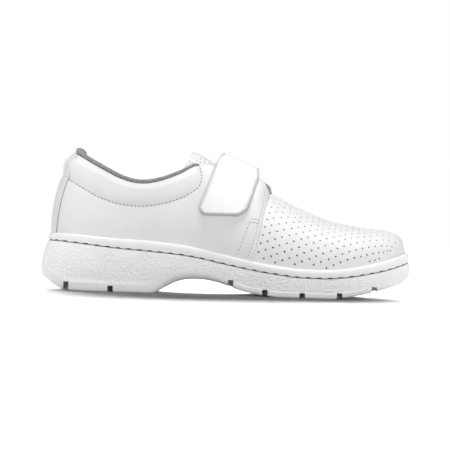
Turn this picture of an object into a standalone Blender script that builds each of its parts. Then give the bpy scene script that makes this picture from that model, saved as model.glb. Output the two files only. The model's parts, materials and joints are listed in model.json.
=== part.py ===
"""Low closed work shoe for the right foot, with a perforated vamp and one strap.

Metres. +X points to the toe, -Y to the outer side of the foot and +Z up, and
the sole stands on z = 0. The walls of the upper, the tongue and the strap all
come from one wall function: a Bezier curve for each section, led smoothly
through the rows of the section tables.
"""

import math
from collections import namedtuple

import bmesh
import bpy
from mathutils import Vector

# Driving sizes
SHOE_LENGTH = 0.290
BALL_WIDTH = 0.0965
HEEL_WIDTH = 0.0645
HEEL_PLATFORM = 0.0382
COLLAR_RISE = 0.0698
INSTEP_RISE = 0.0612
CLEARANCE = 0.0003

# Sole and welt
WELT_WIDTH = 0.0030
WELT_HEIGHT = 0.0084
HEEL_FLARE = 0.0051
HEEL_BEVEL = 0.0124
ARCH_HEIGHT = 0.0118
TOE_SPRING = 0.0210
EDGE_ROUND = 0.0050
GROOVE = 0.0010
LUG_PROUD = 0.0006
SLOT_WIDTH = 0.0042
SLOT_DEPTH = 0.0045
SLOT_REACH = 0.0220

# The sidewall's shape: how fast it flares, and the top of the lugs and of the
# step over them as shares of its height
FLARE_POWER = 1.8
LUG_TOP = 0.16
LUG_STEP_TOP = 0.20
EDGE_BEND = 0.3

# Leather and padding
VAMP_WALL = 0.0020
QUARTER_STEP = 0.0014
STRIP_STEP = 0.0008
COLLAR_PAD = 0.0045
BINDING_HEIGHT = 0.0037
BINDING_HEEL_EXTRA = 0.45
BINDING_FRONT_LOSS = 0.35
INSOLE_THICKNESS = 0.0050
INSOLE_CHAMFER = 0.0010
TONGUE_THICKNESS = 0.0025
TONGUE_UNDER_STEPS = 2

# Strap
STRAP_WIDTH = 0.0357
STRAP_THICKNESS = 0.0030
STRAP_LIFT = 0.0012
STRAP_ARCH = 0.0090
STRAP_CROWN_LEAN = 0.0050
STRAP_CROWN_DROP = 0.0035
STRAP_LEAN = math.radians(18.5)
STRAP_PLACE = 0.413
STRAP_CORNER = 0.0080
STRAP_END_HEIGHT = 0.0612
STRAP_INNER_HEIGHT = 0.0560

# Mesh density
ROW_STEPS = 2
WALL_STEPS = 8
RIDGE_STEPS = 3
BRIDGE_STEPS = 8

# Sections of the welt's bead and of the collar's roll: shares of their width
# and height
Ring = namedtuple("Ring", "across up")
BEAD = [
    Ring(0.0, 0.0),
    Ring(0.0, 0.9),
    Ring(0.3, 1.0),
    Ring(0.75, 0.85),
    Ring(1.0, 0.5),
    Ring(1.0, 0.25),
    Ring(0.7, 0.0),
]
ROLL = [
    Ring(0.5, 1.0),
    Ring(0.8, 0.9),
    Ring(1.0, 0.55),
    Ring(1.0, 0.0),
    Ring(0.5, 0.0),
    Ring(0.0, 0.0),
    Ring(0.0, 0.55),
    Ring(0.2, 0.9),
]

# Places across the strap, as shares of half its width
STRAP_PLACES = (-1, -0.93, -0.8, -0.6, -0.3, 0, 0.3, 0.6, 0.8, 0.93, 1)

# Places as shares of SHOE_LENGTH from the back of the sole. The heights are
# shares of HEEL_PLATFORM and the bead of WELT_HEIGHT.
Platform = namedtuple("Platform", "along height bead")
PLATFORM = [
    Platform(0.000, 1.000, 0.71),
    Platform(0.050, 0.992, 0.74),
    Platform(0.105, 0.955, 0.82),
    Platform(0.214, 0.872, 0.92),
    Platform(0.295, 0.832, 1.00),
    Platform(0.376, 0.782, 0.97),
    Platform(0.431, 0.725, 0.92),
    Platform(0.485, 0.643, 0.88),
    Platform(0.567, 0.527, 0.82),
    Platform(0.621, 0.463, 0.79),
    Platform(0.702, 0.400, 0.80),
    Platform(0.757, 0.393, 0.80),
    Platform(0.811, 0.422, 0.82),
    Platform(0.864, 0.489, 0.86),
    Platform(0.918, 0.582, 0.92),
    Platform(0.972, 0.716, 0.96),
    Platform(1.000, 0.805, 0.92),
]

# The underside's height as shares of HEEL_BEVEL, ARCH_HEIGHT and TOE_SPRING.
Underside = namedtuple("Underside", "along bevel arch spring")
UNDERSIDE = [
    Underside(0.000, 1.00, 0.00, 0.00),
    Underside(0.027, 0.60, 0.00, 0.00),
    Underside(0.055, 0.20, 0.00, 0.00),
    Underside(0.076, 0.03, 0.00, 0.00),
    Underside(0.088, 0.00, 0.00, 0.00),
    Underside(0.160, 0.00, 0.00, 0.00),
    Underside(0.235, 0.00, 0.00, 0.00),
    Underside(0.310, 0.00, 0.00, 0.00),
    Underside(0.325, 0.00, 0.18, 0.00),
    Underside(0.338, 0.00, 0.38, 0.00),
    Underside(0.352, 0.00, 0.56, 0.00),
    Underside(0.365, 0.00, 0.74, 0.00),
    Underside(0.379, 0.00, 0.86, 0.00),
    Underside(0.392, 0.00, 0.94, 0.00),
    Underside(0.415, 0.00, 1.00, 0.00),
    Underside(0.443, 0.00, 0.98, 0.00),
    Underside(0.471, 0.00, 0.88, 0.00),
    Underside(0.491, 0.00, 0.76, 0.00),
    Underside(0.509, 0.00, 0.61, 0.00),
    Underside(0.528, 0.00, 0.46, 0.00),
    Underside(0.547, 0.00, 0.33, 0.00),
    Underside(0.569, 0.00, 0.21, 0.00),
    Underside(0.596, 0.00, 0.12, 0.00),
    Underside(0.622, 0.00, 0.04, 0.00),
    Underside(0.650, 0.00, 0.00, 0.00),
    Underside(0.715, 0.00, 0.00, 0.00),
    Underside(0.784, 0.00, 0.00, 0.00),
    Underside(0.812, 0.00, 0.00, 0.05),
    Underside(0.839, 0.00, 0.00, 0.11),
    Underside(0.866, 0.00, 0.00, 0.19),
    Underside(0.893, 0.00, 0.00, 0.28),
    Underside(0.920, 0.00, 0.00, 0.38),
    Underside(0.947, 0.00, 0.00, 0.49),
    Underside(0.973, 0.00, 0.00, 0.62),
    Underside(0.990, 0.00, 0.00, 0.79),
    Underside(1.000, 0.00, 0.00, 1.00),
]

# The sidewall: shares of HEEL_FLARE, EDGE_ROUND inwards and upwards, and LUG_PROUD.
Side = namedtuple("Side", "along flare edge_in edge_up lug")
SIDE = [
    Side(0.000, 1.00, 0.20, 0.85, 0.00),
    Side(0.060, 0.85, 0.25, 0.45, 0.00),
    Side(0.100, 0.70, 0.30, 0.30, 1.00),
    Side(0.200, 0.60, 0.30, 0.28, 1.00),
    Side(0.290, 0.50, 0.30, 0.28, 0.60),
    Side(0.320, 0.45, 0.60, 0.65, 0.00),
    Side(0.360, 0.32, 1.00, 1.00, 0.00),
    Side(0.430, 0.20, 1.00, 0.95, 0.00),
    Side(0.490, 0.18, 0.80, 0.65, 0.00),
    Side(0.540, 0.18, 0.40, 0.32, 0.50),
    Side(0.620, 0.20, 0.30, 0.28, 0.70),
    Side(0.800, 0.20, 0.30, 0.28, 0.70),
    Side(0.900, 0.22, 0.30, 0.30, 0.40),
    Side(0.960, 0.25, 0.30, 0.36, 0.00),
    Side(1.000, 0.25, 0.30, 0.42, 0.00),
]

# Slots across the tread: the depth is a share of SLOT_DEPTH.
Slot = namedtuple("Slot", "along depth")
SLOTS = [
    Slot(0.077, 1.45),
    Slot(0.196, 1.04),
    Slot(0.515, 1.20),
    Slot(0.606, 1.00),
    Slot(0.704, 0.87),
    Slot(0.803, 0.90),
    Slot(0.896, 0.87),
]

# Sections of the quarters, from the heel to their front edge on the vamp.
# Along and top_along are shares of the last's length. Outer and inner are
# shares of its width there, and their tops shares of HEEL_WIDTH. Top_rise is
# a share of COLLAR_RISE above the platform, and inner_extra what the inner side
# has on top of it. Climb is the slope at the top.
Quarter = namedtuple(
    "Quarter",
    "along outer inner top_along top_outer top_inner top_rise inner_extra start end climb slant",
)
QUARTERS = [
    Quarter(0.000, 0.000, 0.000, 0.061, 0.000, 0.000, 1.003, 0.000, 0.40, 0.36, 1.7, 0.00),
    Quarter(0.005, 0.147, 0.147, 0.063, 0.070, 0.070, 0.996, 0.000, 0.40, 0.36, 1.8, 0.00),
    Quarter(0.019, 0.284, 0.279, 0.070, 0.140, 0.140, 0.978, 0.000, 0.40, 0.35, 2.2, 0.05),
    Quarter(0.048, 0.411, 0.403, 0.095, 0.233, 0.233, 0.932, 0.000, 0.38, 0.34, 3.0, 0.15),
    Quarter(0.102, 0.488, 0.473, 0.138, 0.333, 0.333, 0.858, 0.000, 0.38, 0.33, 5.0, 0.30),
    Quarter(0.174, 0.512, 0.488, 0.196, 0.403, 0.403, 0.772, 0.000, 0.38, 0.33, 6.0, 0.30),
    Quarter(0.254, 0.518, 0.473, 0.250, 0.434, 0.434, 0.741, 0.000, 0.38, 0.33, 6.0, 0.30),
    Quarter(0.326, 0.514, 0.430, 0.304, 0.434, 0.434, 0.790, 0.000, 0.38, 0.33, 4.5, 0.30),
    Quarter(0.383, 0.497, 0.393, 0.358, 0.388, 0.388, 0.893, 0.000, 0.38, 0.33, 3.0, 0.30),
    Quarter(0.427, 0.487, 0.376, 0.403, 0.318, 0.318, 1.012, 0.000, 0.38, 0.33, 1.6, 0.30),
    Quarter(0.470, 0.480, 0.369, 0.445, 0.279, 0.279, 1.062, 0.000, 0.38, 0.33, 1.15, 0.30),
    Quarter(0.513, 0.478, 0.371, 0.506, 0.248, 0.248, 1.046, 0.000, 0.38, 0.33, 0.95, 0.35),
    Quarter(0.545, 0.480, 0.378, 0.563, 0.225, 0.225, 1.013, 0.012, 0.38, 0.33, 0.80, 0.40),
    Quarter(0.560, 0.481, 0.381, 0.594, 0.214, 0.214, 0.975, 0.020, 0.38, 0.33, 0.65, 0.45),
]

# Sections of the vamp, from the quarters' edge to the toe, all reaching the
# ridge. Top_side is a share of BALL_WIDTH and top_rise of INSTEP_RISE.
Vamp = namedtuple("Vamp", "along outer inner top_along top_side top_rise start end slant")
VAMPS = [
    Vamp(0.565, 0.482, 0.383, 0.621, 0.021, 1.001, 0.36, 0.42, 0.50),
    Vamp(0.639, 0.498, 0.427, 0.661, 0.031, 0.933, 0.38, 0.42, 0.40),
    Vamp(0.718, 0.512, 0.477, 0.715, 0.036, 0.841, 0.38, 0.44, 0.30),
    Vamp(0.794, 0.497, 0.490, 0.772, 0.041, 0.746, 0.38, 0.46, 0.20),
    Vamp(0.862, 0.451, 0.469, 0.826, 0.041, 0.666, 0.39, 0.48, 0.10),
    Vamp(0.916, 0.378, 0.419, 0.870, 0.041, 0.602, 0.41, 0.49, 0.05),
    Vamp(0.960, 0.269, 0.330, 0.895, 0.041, 0.565, 0.43, 0.50, 0.04),
    Vamp(0.987, 0.145, 0.218, 0.909, 0.041, 0.544, 0.45, 0.50, 0.04),
    Vamp(1.000, -0.041, 0.041, 0.916, 0.041, 0.535, 0.46, 0.50, 0.04),
]

# Where along the first vamp section the quarters' front corner lies
FACING_SHARE = 0.80

# Rows of the quarters: the back strip's edge, where the step on the vamp
# starts to build up and over how many rows, where the collar's padding starts
# to thin, and the front end of the collar's roll
STRIP_ROW = 2
STEP_ROW = 10
STEP_ROWS = 3
PAD_ROW = 7
COLLAR_FRONT = 9.2

# Shares of the wall where the collar's padding starts and is full, and where
# the strap starts to come down to the wall and lies on it
PAD_START = 0.50
PAD_FULL = 0.85
LIFT_FULL = 0.20
LIFT_END = 0.80

# Rows of the vamp over which it thins in front of the quarters' edge
VAMP_THINNING = 1.5

# Length of a bridge's leads as a share of the gap that it crosses
LEAD_SHARE = 0.35

# The tongue's crown: the row of the quarters, the place along the last and
# the height above the platform as a share of INSTEP_RISE.
Crown = namedtuple("Crown", "row along rise")
CROWNS = [
    Crown(8.10, 0.388, 1.340),
    Crown(8.60, 0.396, 1.330),
    Crown(9.10, 0.412, 1.318),
    Crown(10.00, 0.452, 1.250),
    Crown(11.00, 0.507, 1.190),
    Crown(12.00, 0.565, 1.125),
    Crown(13.00, 0.598, 1.070),
    Crown(13.60, 0.611, 1.030),
]

WHITE = (0.86, 0.86, 0.865)
LEATHER = (0.90, 0.90, 0.905)
GREY_TEXTILE = (0.33, 0.33, 0.34)

LAST_LENGTH = SHOE_LENGTH - 2 * WELT_WIDTH - (SIDE[0].flare + SIDE[-1].flare) * HEEL_FLARE
HEEL_BACK = -SHOE_LENGTH / 2 + WELT_WIDTH + SIDE[0].flare * HEEL_FLARE
LAST_ROW = len(QUARTERS)
TOE_ROW = LAST_ROW + len(VAMPS) - 1


def smooth_step(value):
    value = min(max(value, 0.0), 1.0)
    return value * value * (3 - 2 * value)


def hermite(start, end, leaving, arriving, share):
    """Cubic from start to end with the given tangents."""
    rise = end - start
    bend = 3 * rise - 2 * leaving - arriving
    return start + share * (leaving + share * (bend + share * (leaving + arriving - 2 * rise)))


def profile(rows, column, share):
    """Value of a table's column at a share of the length, smooth and without overshoot."""
    keys = [row.along for row in rows]
    values = [getattr(row, column) for row in rows]
    share = min(max(share, keys[0]), keys[-1])
    index = max(i for i in range(len(keys) - 1) if keys[i] <= share)
    spans = [after - before for before, after in zip(keys, keys[1:])]
    slopes = [(values[i + 1] - values[i]) / spans[i] for i in range(len(spans))]

    def tangent(i):
        if i in (0, len(keys) - 1):
            return slopes[0] if i == 0 else slopes[-1]
        before, after = slopes[i - 1], slopes[i]
        return 0.0 if before * after <= 0 else 2 * before * after / (before + after)

    span = spans[index]
    leaving, arriving = tangent(index) * span, tangent(index + 1) * span
    return hermite(values[index], values[index + 1], leaving, arriving, (share - keys[index]) / span)


def sole_share(x):
    return x / SHOE_LENGTH + 0.5


def platform_height(x):
    return HEEL_PLATFORM * profile(PLATFORM, "height", sole_share(x))


def bead_top(x):
    return platform_height(x) + WELT_HEIGHT * profile(PLATFORM, "bead", sole_share(x))


def underside_height(x):
    share = sole_share(x)
    bevel = HEEL_BEVEL * profile(UNDERSIDE, "bevel", share)
    arch = ARCH_HEIGHT * profile(UNDERSIDE, "arch", share)
    return bevel + arch + TOE_SPRING * profile(UNDERSIDE, "spring", share)


def last_x(share):
    return HEEL_BACK + share * LAST_LENGTH


def last_width(share):
    """Width of the last's bottom that the outline's shares are of."""
    return HEEL_WIDTH + (BALL_WIDTH - HEEL_WIDTH) * smooth_step((share - 0.25) / 0.40)


def spline(points, spans, position):
    """Point at a position counted in the list's indices; spans are the distances between points."""
    index = min(int(position), len(points) - 2)

    def slope(i):
        return (points[i + 1] - points[i]) / spans[i]

    def tangent(i):
        if i in (0, len(points) - 1):
            return slope(max(i - 1, 0))
        before, after = spans[i - 1], spans[i]
        return (slope(i - 1) * after + slope(i) * before) / (before + after)

    leaving, arriving = tangent(index) * spans[index], tangent(index + 1) * spans[index]
    return hermite(points[index], points[index + 1], leaving, arriving, position - index)


def outline_rows(side):
    """Points of the last's bottom on one side, from the heel to the toe."""
    points = []
    for row in QUARTERS + VAMPS:
        share = row.outer if side < 0 else row.inner
        y = side * share * last_width(row.along) + CENTRE_SHIFT
        points.append(Vector((last_x(row.along), y, 0.0)))
    return points


def widest(column):
    return max(getattr(row, column) * last_width(row.along) for row in VAMPS)


# Keeps the shoe's two widest points at the same distance from y = 0
CENTRE_SHIFT = (widest("outer") - widest("inner")) / 2
OUTLINES = {side: outline_rows(side) for side in (-1, 1)}
SPANS = [math.sqrt((after - before).length) for before, after in zip(OUTLINES[-1], OUTLINES[-1][1:])]


def outline_loop_point(side, row):
    """Point of the outline on one side; past either end it runs on round the other side."""
    if row < 0:
        side, row = -side, -row
    if row > TOE_ROW:
        side, row = -side, 2 * TOE_ROW - row
    points = OUTLINES[side]
    other = OUTLINES[-side]
    padded = [other[1]] + points + [other[-2]]
    return spline(padded, SPANS[:1] + SPANS + SPANS[-1:], row + 1)


def outline(side, row, offset=0.0):
    """Point of the outline moved outwards by the offset."""
    step = 0.05
    along = outline_loop_point(side, row + step) - outline_loop_point(side, row - step)
    outward = Vector((-side * along.y, side * along.x, 0.0)).normalized()
    return outline_loop_point(side, row) + offset * outward


def row_at(side, x):
    """Row of the outline at a place along the shoe, by halving."""
    low, high = 0.0, float(TOE_ROW)
    for _ in range(40):
        middle = (low + high) / 2
        if outline_loop_point(side, middle).x < x:
            low = middle
        else:
            high = middle
    return (low + high) / 2


def section(foot, top, inward, start, end, slant, climb, ridge_slope):
    """Bezier points of one wall section, from the top of the welt to its top."""
    span = (top - foot).length
    lift = foot + Vector(((top.x - foot.x) * slant, 0.0, start * span))
    across = Vector((top.x - foot.x, top.y - foot.y, 0.0))
    level = (inward + across.normalized()).normalized()
    arrival = Vector((level.x, level.y, climb + level.x * ridge_slope)).normalized()
    return [foot, lift, top - end * span * arrival, top]


def foot_of(side, row):
    foot = outline(side, row)
    foot.z = bead_top(foot.x)
    return foot


def inward_of(side, row):
    return (outline(side, row, -1.0) - outline(side, row)).normalized()


def vamp_sections(side):
    tops = []
    for row in VAMPS:
        x = last_x(row.top_along)
        y = row.top_side * BALL_WIDTH + CENTRE_SHIFT
        tops.append(Vector((x, y, platform_height(x) + row.top_rise * INSTEP_RISE)))
    sections = []
    for index, row in enumerate(VAMPS):
        behind, ahead = tops[max(index - 1, 0)], tops[min(index + 1, len(tops) - 1)]
        slope = (ahead.z - behind.z) / (ahead.x - behind.x)
        place = LAST_ROW + index
        sections.append(section(
            foot_of(side, place), tops[index], inward_of(side, place),
            row.start, row.end, row.slant, 0.0, slope,
        ))
    return sections


def first_part(points, share):
    """Bezier points of the part of a curve before a share of it."""
    a, b, c, d = points
    ab, bc, cd = a.lerp(b, share), b.lerp(c, share), c.lerp(d, share)
    abc, bcd = ab.lerp(bc, share), bc.lerp(cd, share)
    return [a, ab, abc, abc.lerp(bcd, share)]


def quarter_sections(side):
    sections = []
    for place, row in enumerate(QUARTERS):
        x = last_x(row.top_along)
        top_share = row.top_outer if side < 0 else row.top_inner
        y = side * top_share * HEEL_WIDTH + CENTRE_SHIFT
        rise = row.top_rise + (row.inner_extra if side > 0 else 0.0)
        top = Vector((x, y, platform_height(x) + rise * COLLAR_RISE))
        sections.append(section(
            foot_of(side, place), top, inward_of(side, place),
            row.start, row.end, row.slant, row.climb, 0.0,
        ))
    sections.append(first_part(vamp_sections(side)[0], FACING_SHARE))
    return sections


QUARTER_CURVES = {side: quarter_sections(side) for side in (-1, 1)}
VAMP_CURVES = {side: vamp_sections(side) for side in (-1, 1)}


def curve_at(curves, side, row, is_vamp):
    """Bezier points of the wall at a row, led smoothly through the sections."""
    if is_vamp and row > len(VAMPS) - 1:
        side, row = -side, 2 * (len(VAMPS) - 1) - row
    if not is_vamp and row < 0:
        side, row = -side, -row
    own, other = curves[side], curves[-side]
    blended = []
    for index in range(4):
        points = [points[index] for points in own]
        if is_vamp:
            spans = SPANS[LAST_ROW:] + SPANS[-1:]
            blended.append(spline(points + [other[-2][index]], spans, row))
        else:
            spans = SPANS[:1] + SPANS[:LAST_ROW]
            blended.append(spline([other[1][index]] + points, spans, row + 1))
    place = row + LAST_ROW if is_vamp else row
    blended[0] = foot_of(side, place)
    return blended


def bezier(points, share):
    a, b, c, d = points
    rest = 1 - share
    return rest**3 * a + 3 * rest**2 * share * b + 3 * rest * share**2 * c + share**3 * d


def bare_wall(side, row, share, is_vamp=False):
    curves = VAMP_CURVES if is_vamp else QUARTER_CURVES
    return bezier(curve_at(curves, side, row, is_vamp), share)


def wall_normal(side, row, share, is_vamp=False):
    step = 0.02
    last = len(VAMPS) - 1 if is_vamp else LAST_ROW
    lowest = 0.0 if is_vamp else -step
    highest = last + step if is_vamp else last
    before = bare_wall(side, max(row - step, lowest), share, is_vamp)
    after = bare_wall(side, min(row + step, highest), share, is_vamp)
    below = bare_wall(side, row, max(share - step, 0.0), is_vamp)
    above = bare_wall(side, row, min(share + step, 1.0), is_vamp)
    normal = (after - before).cross(above - below)
    return (-side * normal).normalized()


def layer(row):
    """How far the quarters stand out from the wall: the back strip and the step on the vamp."""
    strip = STRIP_STEP if row < STRIP_ROW else 0.0
    return strip + QUARTER_STEP * smooth_step((row - STEP_ROW) / STEP_ROWS)


def layer_room(row):
    """Room for those layers inside the welt, which runs on to the station past each edge."""
    if row == STRIP_ROW:
        return STRIP_STEP
    return layer(row) if row <= LAST_ROW else 0.0


def thickness(row, share):
    """Wall of the quarters from their outer face: leather, lining and collar padding."""
    pad_height = smooth_step((share - PAD_START) / (PAD_FULL - PAD_START))
    pad_length = 1 - smooth_step((row - PAD_ROW) / (COLLAR_FRONT - PAD_ROW))
    return VAMP_WALL + QUARTER_STEP + layer(row) + COLLAR_PAD * pad_height * pad_length


def quarter_outer(side, row, share):
    point = bare_wall(side, row, share)
    return point + layer(row) * wall_normal(side, row, share)


def quarter_inner(side, row, share, extra=0.0):
    point = bare_wall(side, row, share)
    depth = thickness(row, share) - layer(row) + extra
    return point - depth * wall_normal(side, row, share)


def vamp_normal(side, row, share):
    """Normal of the vamp; on the ridge both sides share one."""
    if share < 1.0:
        return wall_normal(side, row, share, True)
    both = wall_normal(-1, row, 0.98, True) + wall_normal(1, row, 0.98, True)
    return both.normalized()


def flattened(point, height):
    return Vector((point.x, point.y, height))


def station(side, row, is_vamp):
    """Outer and inner points of the upper at one row, from the platform to the top."""
    if is_vamp:
        shares = [FACING_SHARE * i / WALL_STEPS for i in range(WALL_STEPS)]
        rest = 1 - FACING_SHARE
        shares += [FACING_SHARE + rest * i / RIDGE_STEPS for i in range(RIDGE_STEPS + 1)]
        outer = [bare_wall(side, row, share, True) for share in shares]
        normals = [vamp_normal(side, row, share) for share in shares]
        wall = VAMP_WALL + QUARTER_STEP * (1 - smooth_step(row / VAMP_THINNING))
        inner = [point - wall * normal for point, normal in zip(outer, normals)]
    else:
        shares = [i / WALL_STEPS for i in range(WALL_STEPS + 1)]
        outer = [quarter_outer(side, row, share) for share in shares]
        inner = [quarter_inner(side, row, share) for share in shares]
    base = platform_height(outer[0].x) + CLEARANCE
    inner[0] = flattened(inner[0], outer[0].z)
    outer = [flattened(outer[0], base)] + outer
    inner = [flattened(inner[0], base)] + inner
    return outer, inner


def finish(name, mesh_data, material, angle=40):
    """Joins coincident points, turns the faces outwards and makes the object."""
    mesh_data.normal_update()
    bmesh.ops.remove_doubles(mesh_data, verts=mesh_data.verts, dist=1e-6)
    bmesh.ops.recalc_face_normals(mesh_data, faces=mesh_data.faces)
    mesh = bpy.data.meshes.new(name)
    mesh_data.to_mesh(mesh)
    mesh_data.free()
    mesh.shade_smooth()
    mesh.set_sharp_from_angle(angle=math.radians(angle))
    mesh.materials.append(material)
    made = bpy.data.objects.new(name, mesh)
    SHOE.objects.link(made)
    return made


def add_strip(mesh_data, first, second):
    """Quads between two rows of points; a quad that closes to a point becomes a triangle."""
    for a, b, c, d in zip(first, first[1:], second[1:], second):
        corners = []
        for vertex in (a, b, c, d):
            if all((vertex.co - other.co).length > 1e-6 for other in corners):
                corners.append(vertex)
        if len(corners) > 2:
            mesh_data.faces.new(corners)


def add_points(mesh_data, points):
    return [mesh_data.verts.new(point) for point in points]


def add_cap(mesh_data, ring):
    """Closes a ring whose points pair off across it, the first and the middle one on its axis."""
    half = len(ring) // 2
    one_side = ring[: half + 1]
    other_side = [ring[0]] + ring[:half - 1:-1]
    add_strip(mesh_data, one_side, other_side)


def tube(rings, closed):
    """Solid through rings of points: closed on itself, or with a cap at each end."""
    mesh_data = bmesh.new()
    lines = [add_points(mesh_data, ring) for ring in rings]
    pairs = list(zip(lines, lines[1:]))
    if closed:
        pairs.append((lines[-1], lines[0]))
    for first, second in pairs:
        add_strip(mesh_data, first + first[:1], second + second[:1])
    if not closed:
        add_cap(mesh_data, lines[0])
        add_cap(mesh_data, lines[-1])
    return mesh_data


def slab(outer, inner):
    """Solid between two grids of points of the same size."""
    mesh_data = bmesh.new()
    faces = [add_points(mesh_data, row) for row in outer]
    backs = [add_points(mesh_data, row) for row in inner]
    for grid in (faces, backs):
        for first, second in zip(grid, grid[1:]):
            add_strip(mesh_data, first, second)
    add_strip(mesh_data, faces[0], backs[0])
    add_strip(mesh_data, faces[-1], backs[-1])
    add_strip(mesh_data, [row[0] for row in faces], [row[0] for row in backs])
    add_strip(mesh_data, [row[-1] for row in faces], [row[-1] for row in backs])
    return mesh_data


def material(name, colour, roughness):
    made = bpy.data.materials.new(name)
    made.use_nodes = True
    shader = made.node_tree.nodes["Principled BSDF"]
    shader.inputs["Base Color"].default_value = (*colour, 1.0)
    shader.inputs["Roughness"].default_value = roughness
    made.diffuse_color = (*colour, 1.0)
    return made


def loop_stations():
    """Side and row of each station round the whole outline, heel to toe and back."""
    rows = [i / ROW_STEPS for i in range(TOE_ROW * ROW_STEPS + 1)]
    return [(-1, row) for row in rows] + [(1, row) for row in rows[-2:0:-1]]


def sole_rows(side):
    """Rows of the sole's stations: even round both ends, and at the underside's rows between."""
    back = [0.0, 0.7, 1.3, 2.0, 2.6]
    front = [TOE_ROW - 2.5 + 0.5 * i for i in range(6)]
    first = outline_loop_point(side, 3.0).x
    last = outline_loop_point(side, TOE_ROW - 3.0).x
    places = [(row.along - 0.5) * SHOE_LENGTH for row in UNDERSIDE]
    middle = [row_at(side, x) for x in places if first < x < last]
    return back + [3.0] + middle + [TOE_ROW - 3.0] + front


def sole_ring_points(side, row):
    """Points of the sole's side at one station, from the top edge to the underside."""
    share = sole_share(outline(side, row, WELT_WIDTH).x)
    flare = HEEL_FLARE * profile(SIDE, "flare", share)
    lug = LUG_PROUD * profile(SIDE, "lug", share)
    edge_in = EDGE_ROUND * profile(SIDE, "edge_in", share)
    edge_up = EDGE_ROUND * profile(SIDE, "edge_up", share)
    edge = outline(side, row, WELT_WIDTH + flare)
    low = underside_height(edge.x) + edge_up
    top = platform_height(outline(side, row).x)

    def place(offset, height):
        return flattened(outline(side, row, offset), height)

    points = [place(WELT_WIDTH - GROOVE, top), place(WELT_WIDTH, top - GROOVE)]
    for drop in (0.30, 0.60):
        spread = 1 - (1 - drop) ** FLARE_POWER
        points.append(place(WELT_WIDTH + spread * flare, top + (low - top) * drop))
    points.append(place(WELT_WIDTH + flare, low + LUG_STEP_TOP * (top - low)))
    points.append(place(WELT_WIDTH + flare + lug, low + LUG_TOP * (top - low)))
    points.append(place(WELT_WIDTH + flare + lug, low))
    bend = outline(side, row, WELT_WIDTH + flare + lug - EDGE_BEND * edge_in)
    points.append(flattened(bend, underside_height(bend.x) + EDGE_BEND * edge_up))
    floor = outline(side, row, WELT_WIDTH + flare + lug - edge_in)
    points.append(flattened(floor, underside_height(floor.x)))
    return points


def tread_cutter():
    """Boxes into the tread's two edges, a pair for each slot."""
    mesh_data = bmesh.new()
    for slot in SLOTS:
        x = (slot.along - 0.5) * SHOE_LENGTH
        top = underside_height(x) + slot.depth * SLOT_DEPTH
        low = -SLOT_DEPTH
        for side in (-1, 1):
            edge = outline(side, row_at(side, x)).y
            centre = Vector((x, edge, (top + low) / 2))
            made = bmesh.ops.create_cube(mesh_data, size=1.0)
            bmesh.ops.scale(mesh_data, verts=made["verts"], vec=(SLOT_WIDTH, 2 * SLOT_REACH, top - low))
            bmesh.ops.translate(mesh_data, verts=made["verts"], vec=centre)
    mesh = bpy.data.meshes.new("tread_cutter")
    mesh_data.to_mesh(mesh)
    mesh_data.free()
    cutter = bpy.data.objects.new("tread_cutter", mesh)
    cutter.hide_render = True
    cutter.display_type = "WIRE"
    CUTTERS.objects.link(cutter)
    return cutter


def build_sole():
    outer = [sole_ring_points(-1, row) for row in sole_rows(-1)]
    inner = [sole_ring_points(1, row) for row in sole_rows(1)]
    stations = outer + inner[-2:0:-1]
    rings = [[points[level] for points in stations] for level in range(len(stations[0]))]
    sole = finish("sole", tube(rings, closed=False), material("sole_rubber", WHITE, 0.55))
    cut = sole.modifiers.new("tread_slots", "BOOLEAN")
    cut.operation = "DIFFERENCE"
    cut.object = tread_cutter()


def build_welt():
    """Bead on the sole's edge, round the foot of the upper."""
    rings = []
    for side, row in loop_stations():
        room = layer_room(row) + CLEARANCE
        inside = outline(side, row, room)
        base = platform_height(outline(side, row).x) + CLEARANCE
        height = bead_top(outline(side, row).x) - base
        wide = WELT_WIDTH - room
        ring = []
        for corner in BEAD:
            point = outline(side, row, room + corner.across * wide)
            ring.append(flattened(point, base + corner.up * height))
        ring.insert(0, flattened(inside.lerp(ring[-1], 0.5), base))
        rings.append(ring)
    finish("welt", tube(rings, closed=True), material("welt_rubber", WHITE, 0.40))


def build_upper():
    """One hollow solid: the vamp, and the quarters as a thicker level behind a step."""
    quarter_rows = [i / ROW_STEPS for i in range(LAST_ROW * ROW_STEPS + 1)]
    edge = quarter_rows.index(STRIP_ROW)
    quarter_rows.insert(edge, STRIP_ROW - 0.01)
    vamp_rows = [i / ROW_STEPS for i in range((len(VAMPS) - 1) * ROW_STEPS + 1)]
    quarter = [station(1, row, False) for row in quarter_rows[:0:-1]]
    quarter += [station(-1, row, False) for row in quarter_rows]
    vamp = [station(-1, row, True) for row in vamp_rows]
    vamp += [station(1, row, True) for row in vamp_rows[-2::-1]]
    mesh_data = bmesh.new()
    quarter = [[add_points(mesh_data, line) for line in pair] for pair in quarter]
    vamp = [[add_points(mesh_data, line) for line in pair] for pair in vamp]

    def join(first, second, count, is_open):
        for level in (0, 1):
            add_strip(mesh_data, first[level][:count], second[level][:count])
        add_strip(mesh_data, [first[0][0], first[1][0]], [second[0][0], second[1][0]])
        if is_open:
            top = count - 1
            add_strip(mesh_data, [first[0][top], first[1][top]], [second[0][top], second[1][top]])

    low_count = WALL_STEPS + 2
    for first, second in zip(quarter, quarter[1:]):
        join(first, second, low_count, True)
    for first, second in zip(vamp, vamp[1:]):
        join(first, second, len(first[0]), False)
    join(quarter[-1], vamp[0], low_count, True)
    join(vamp[-1], quarter[0], low_count, True)
    for end in (vamp[0], vamp[-1]):
        add_strip(mesh_data, end[0][low_count - 1:], end[1][low_count - 1:])
    finish("upper", mesh_data, material("white_leather", LEATHER, 0.42), angle=35)


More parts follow.
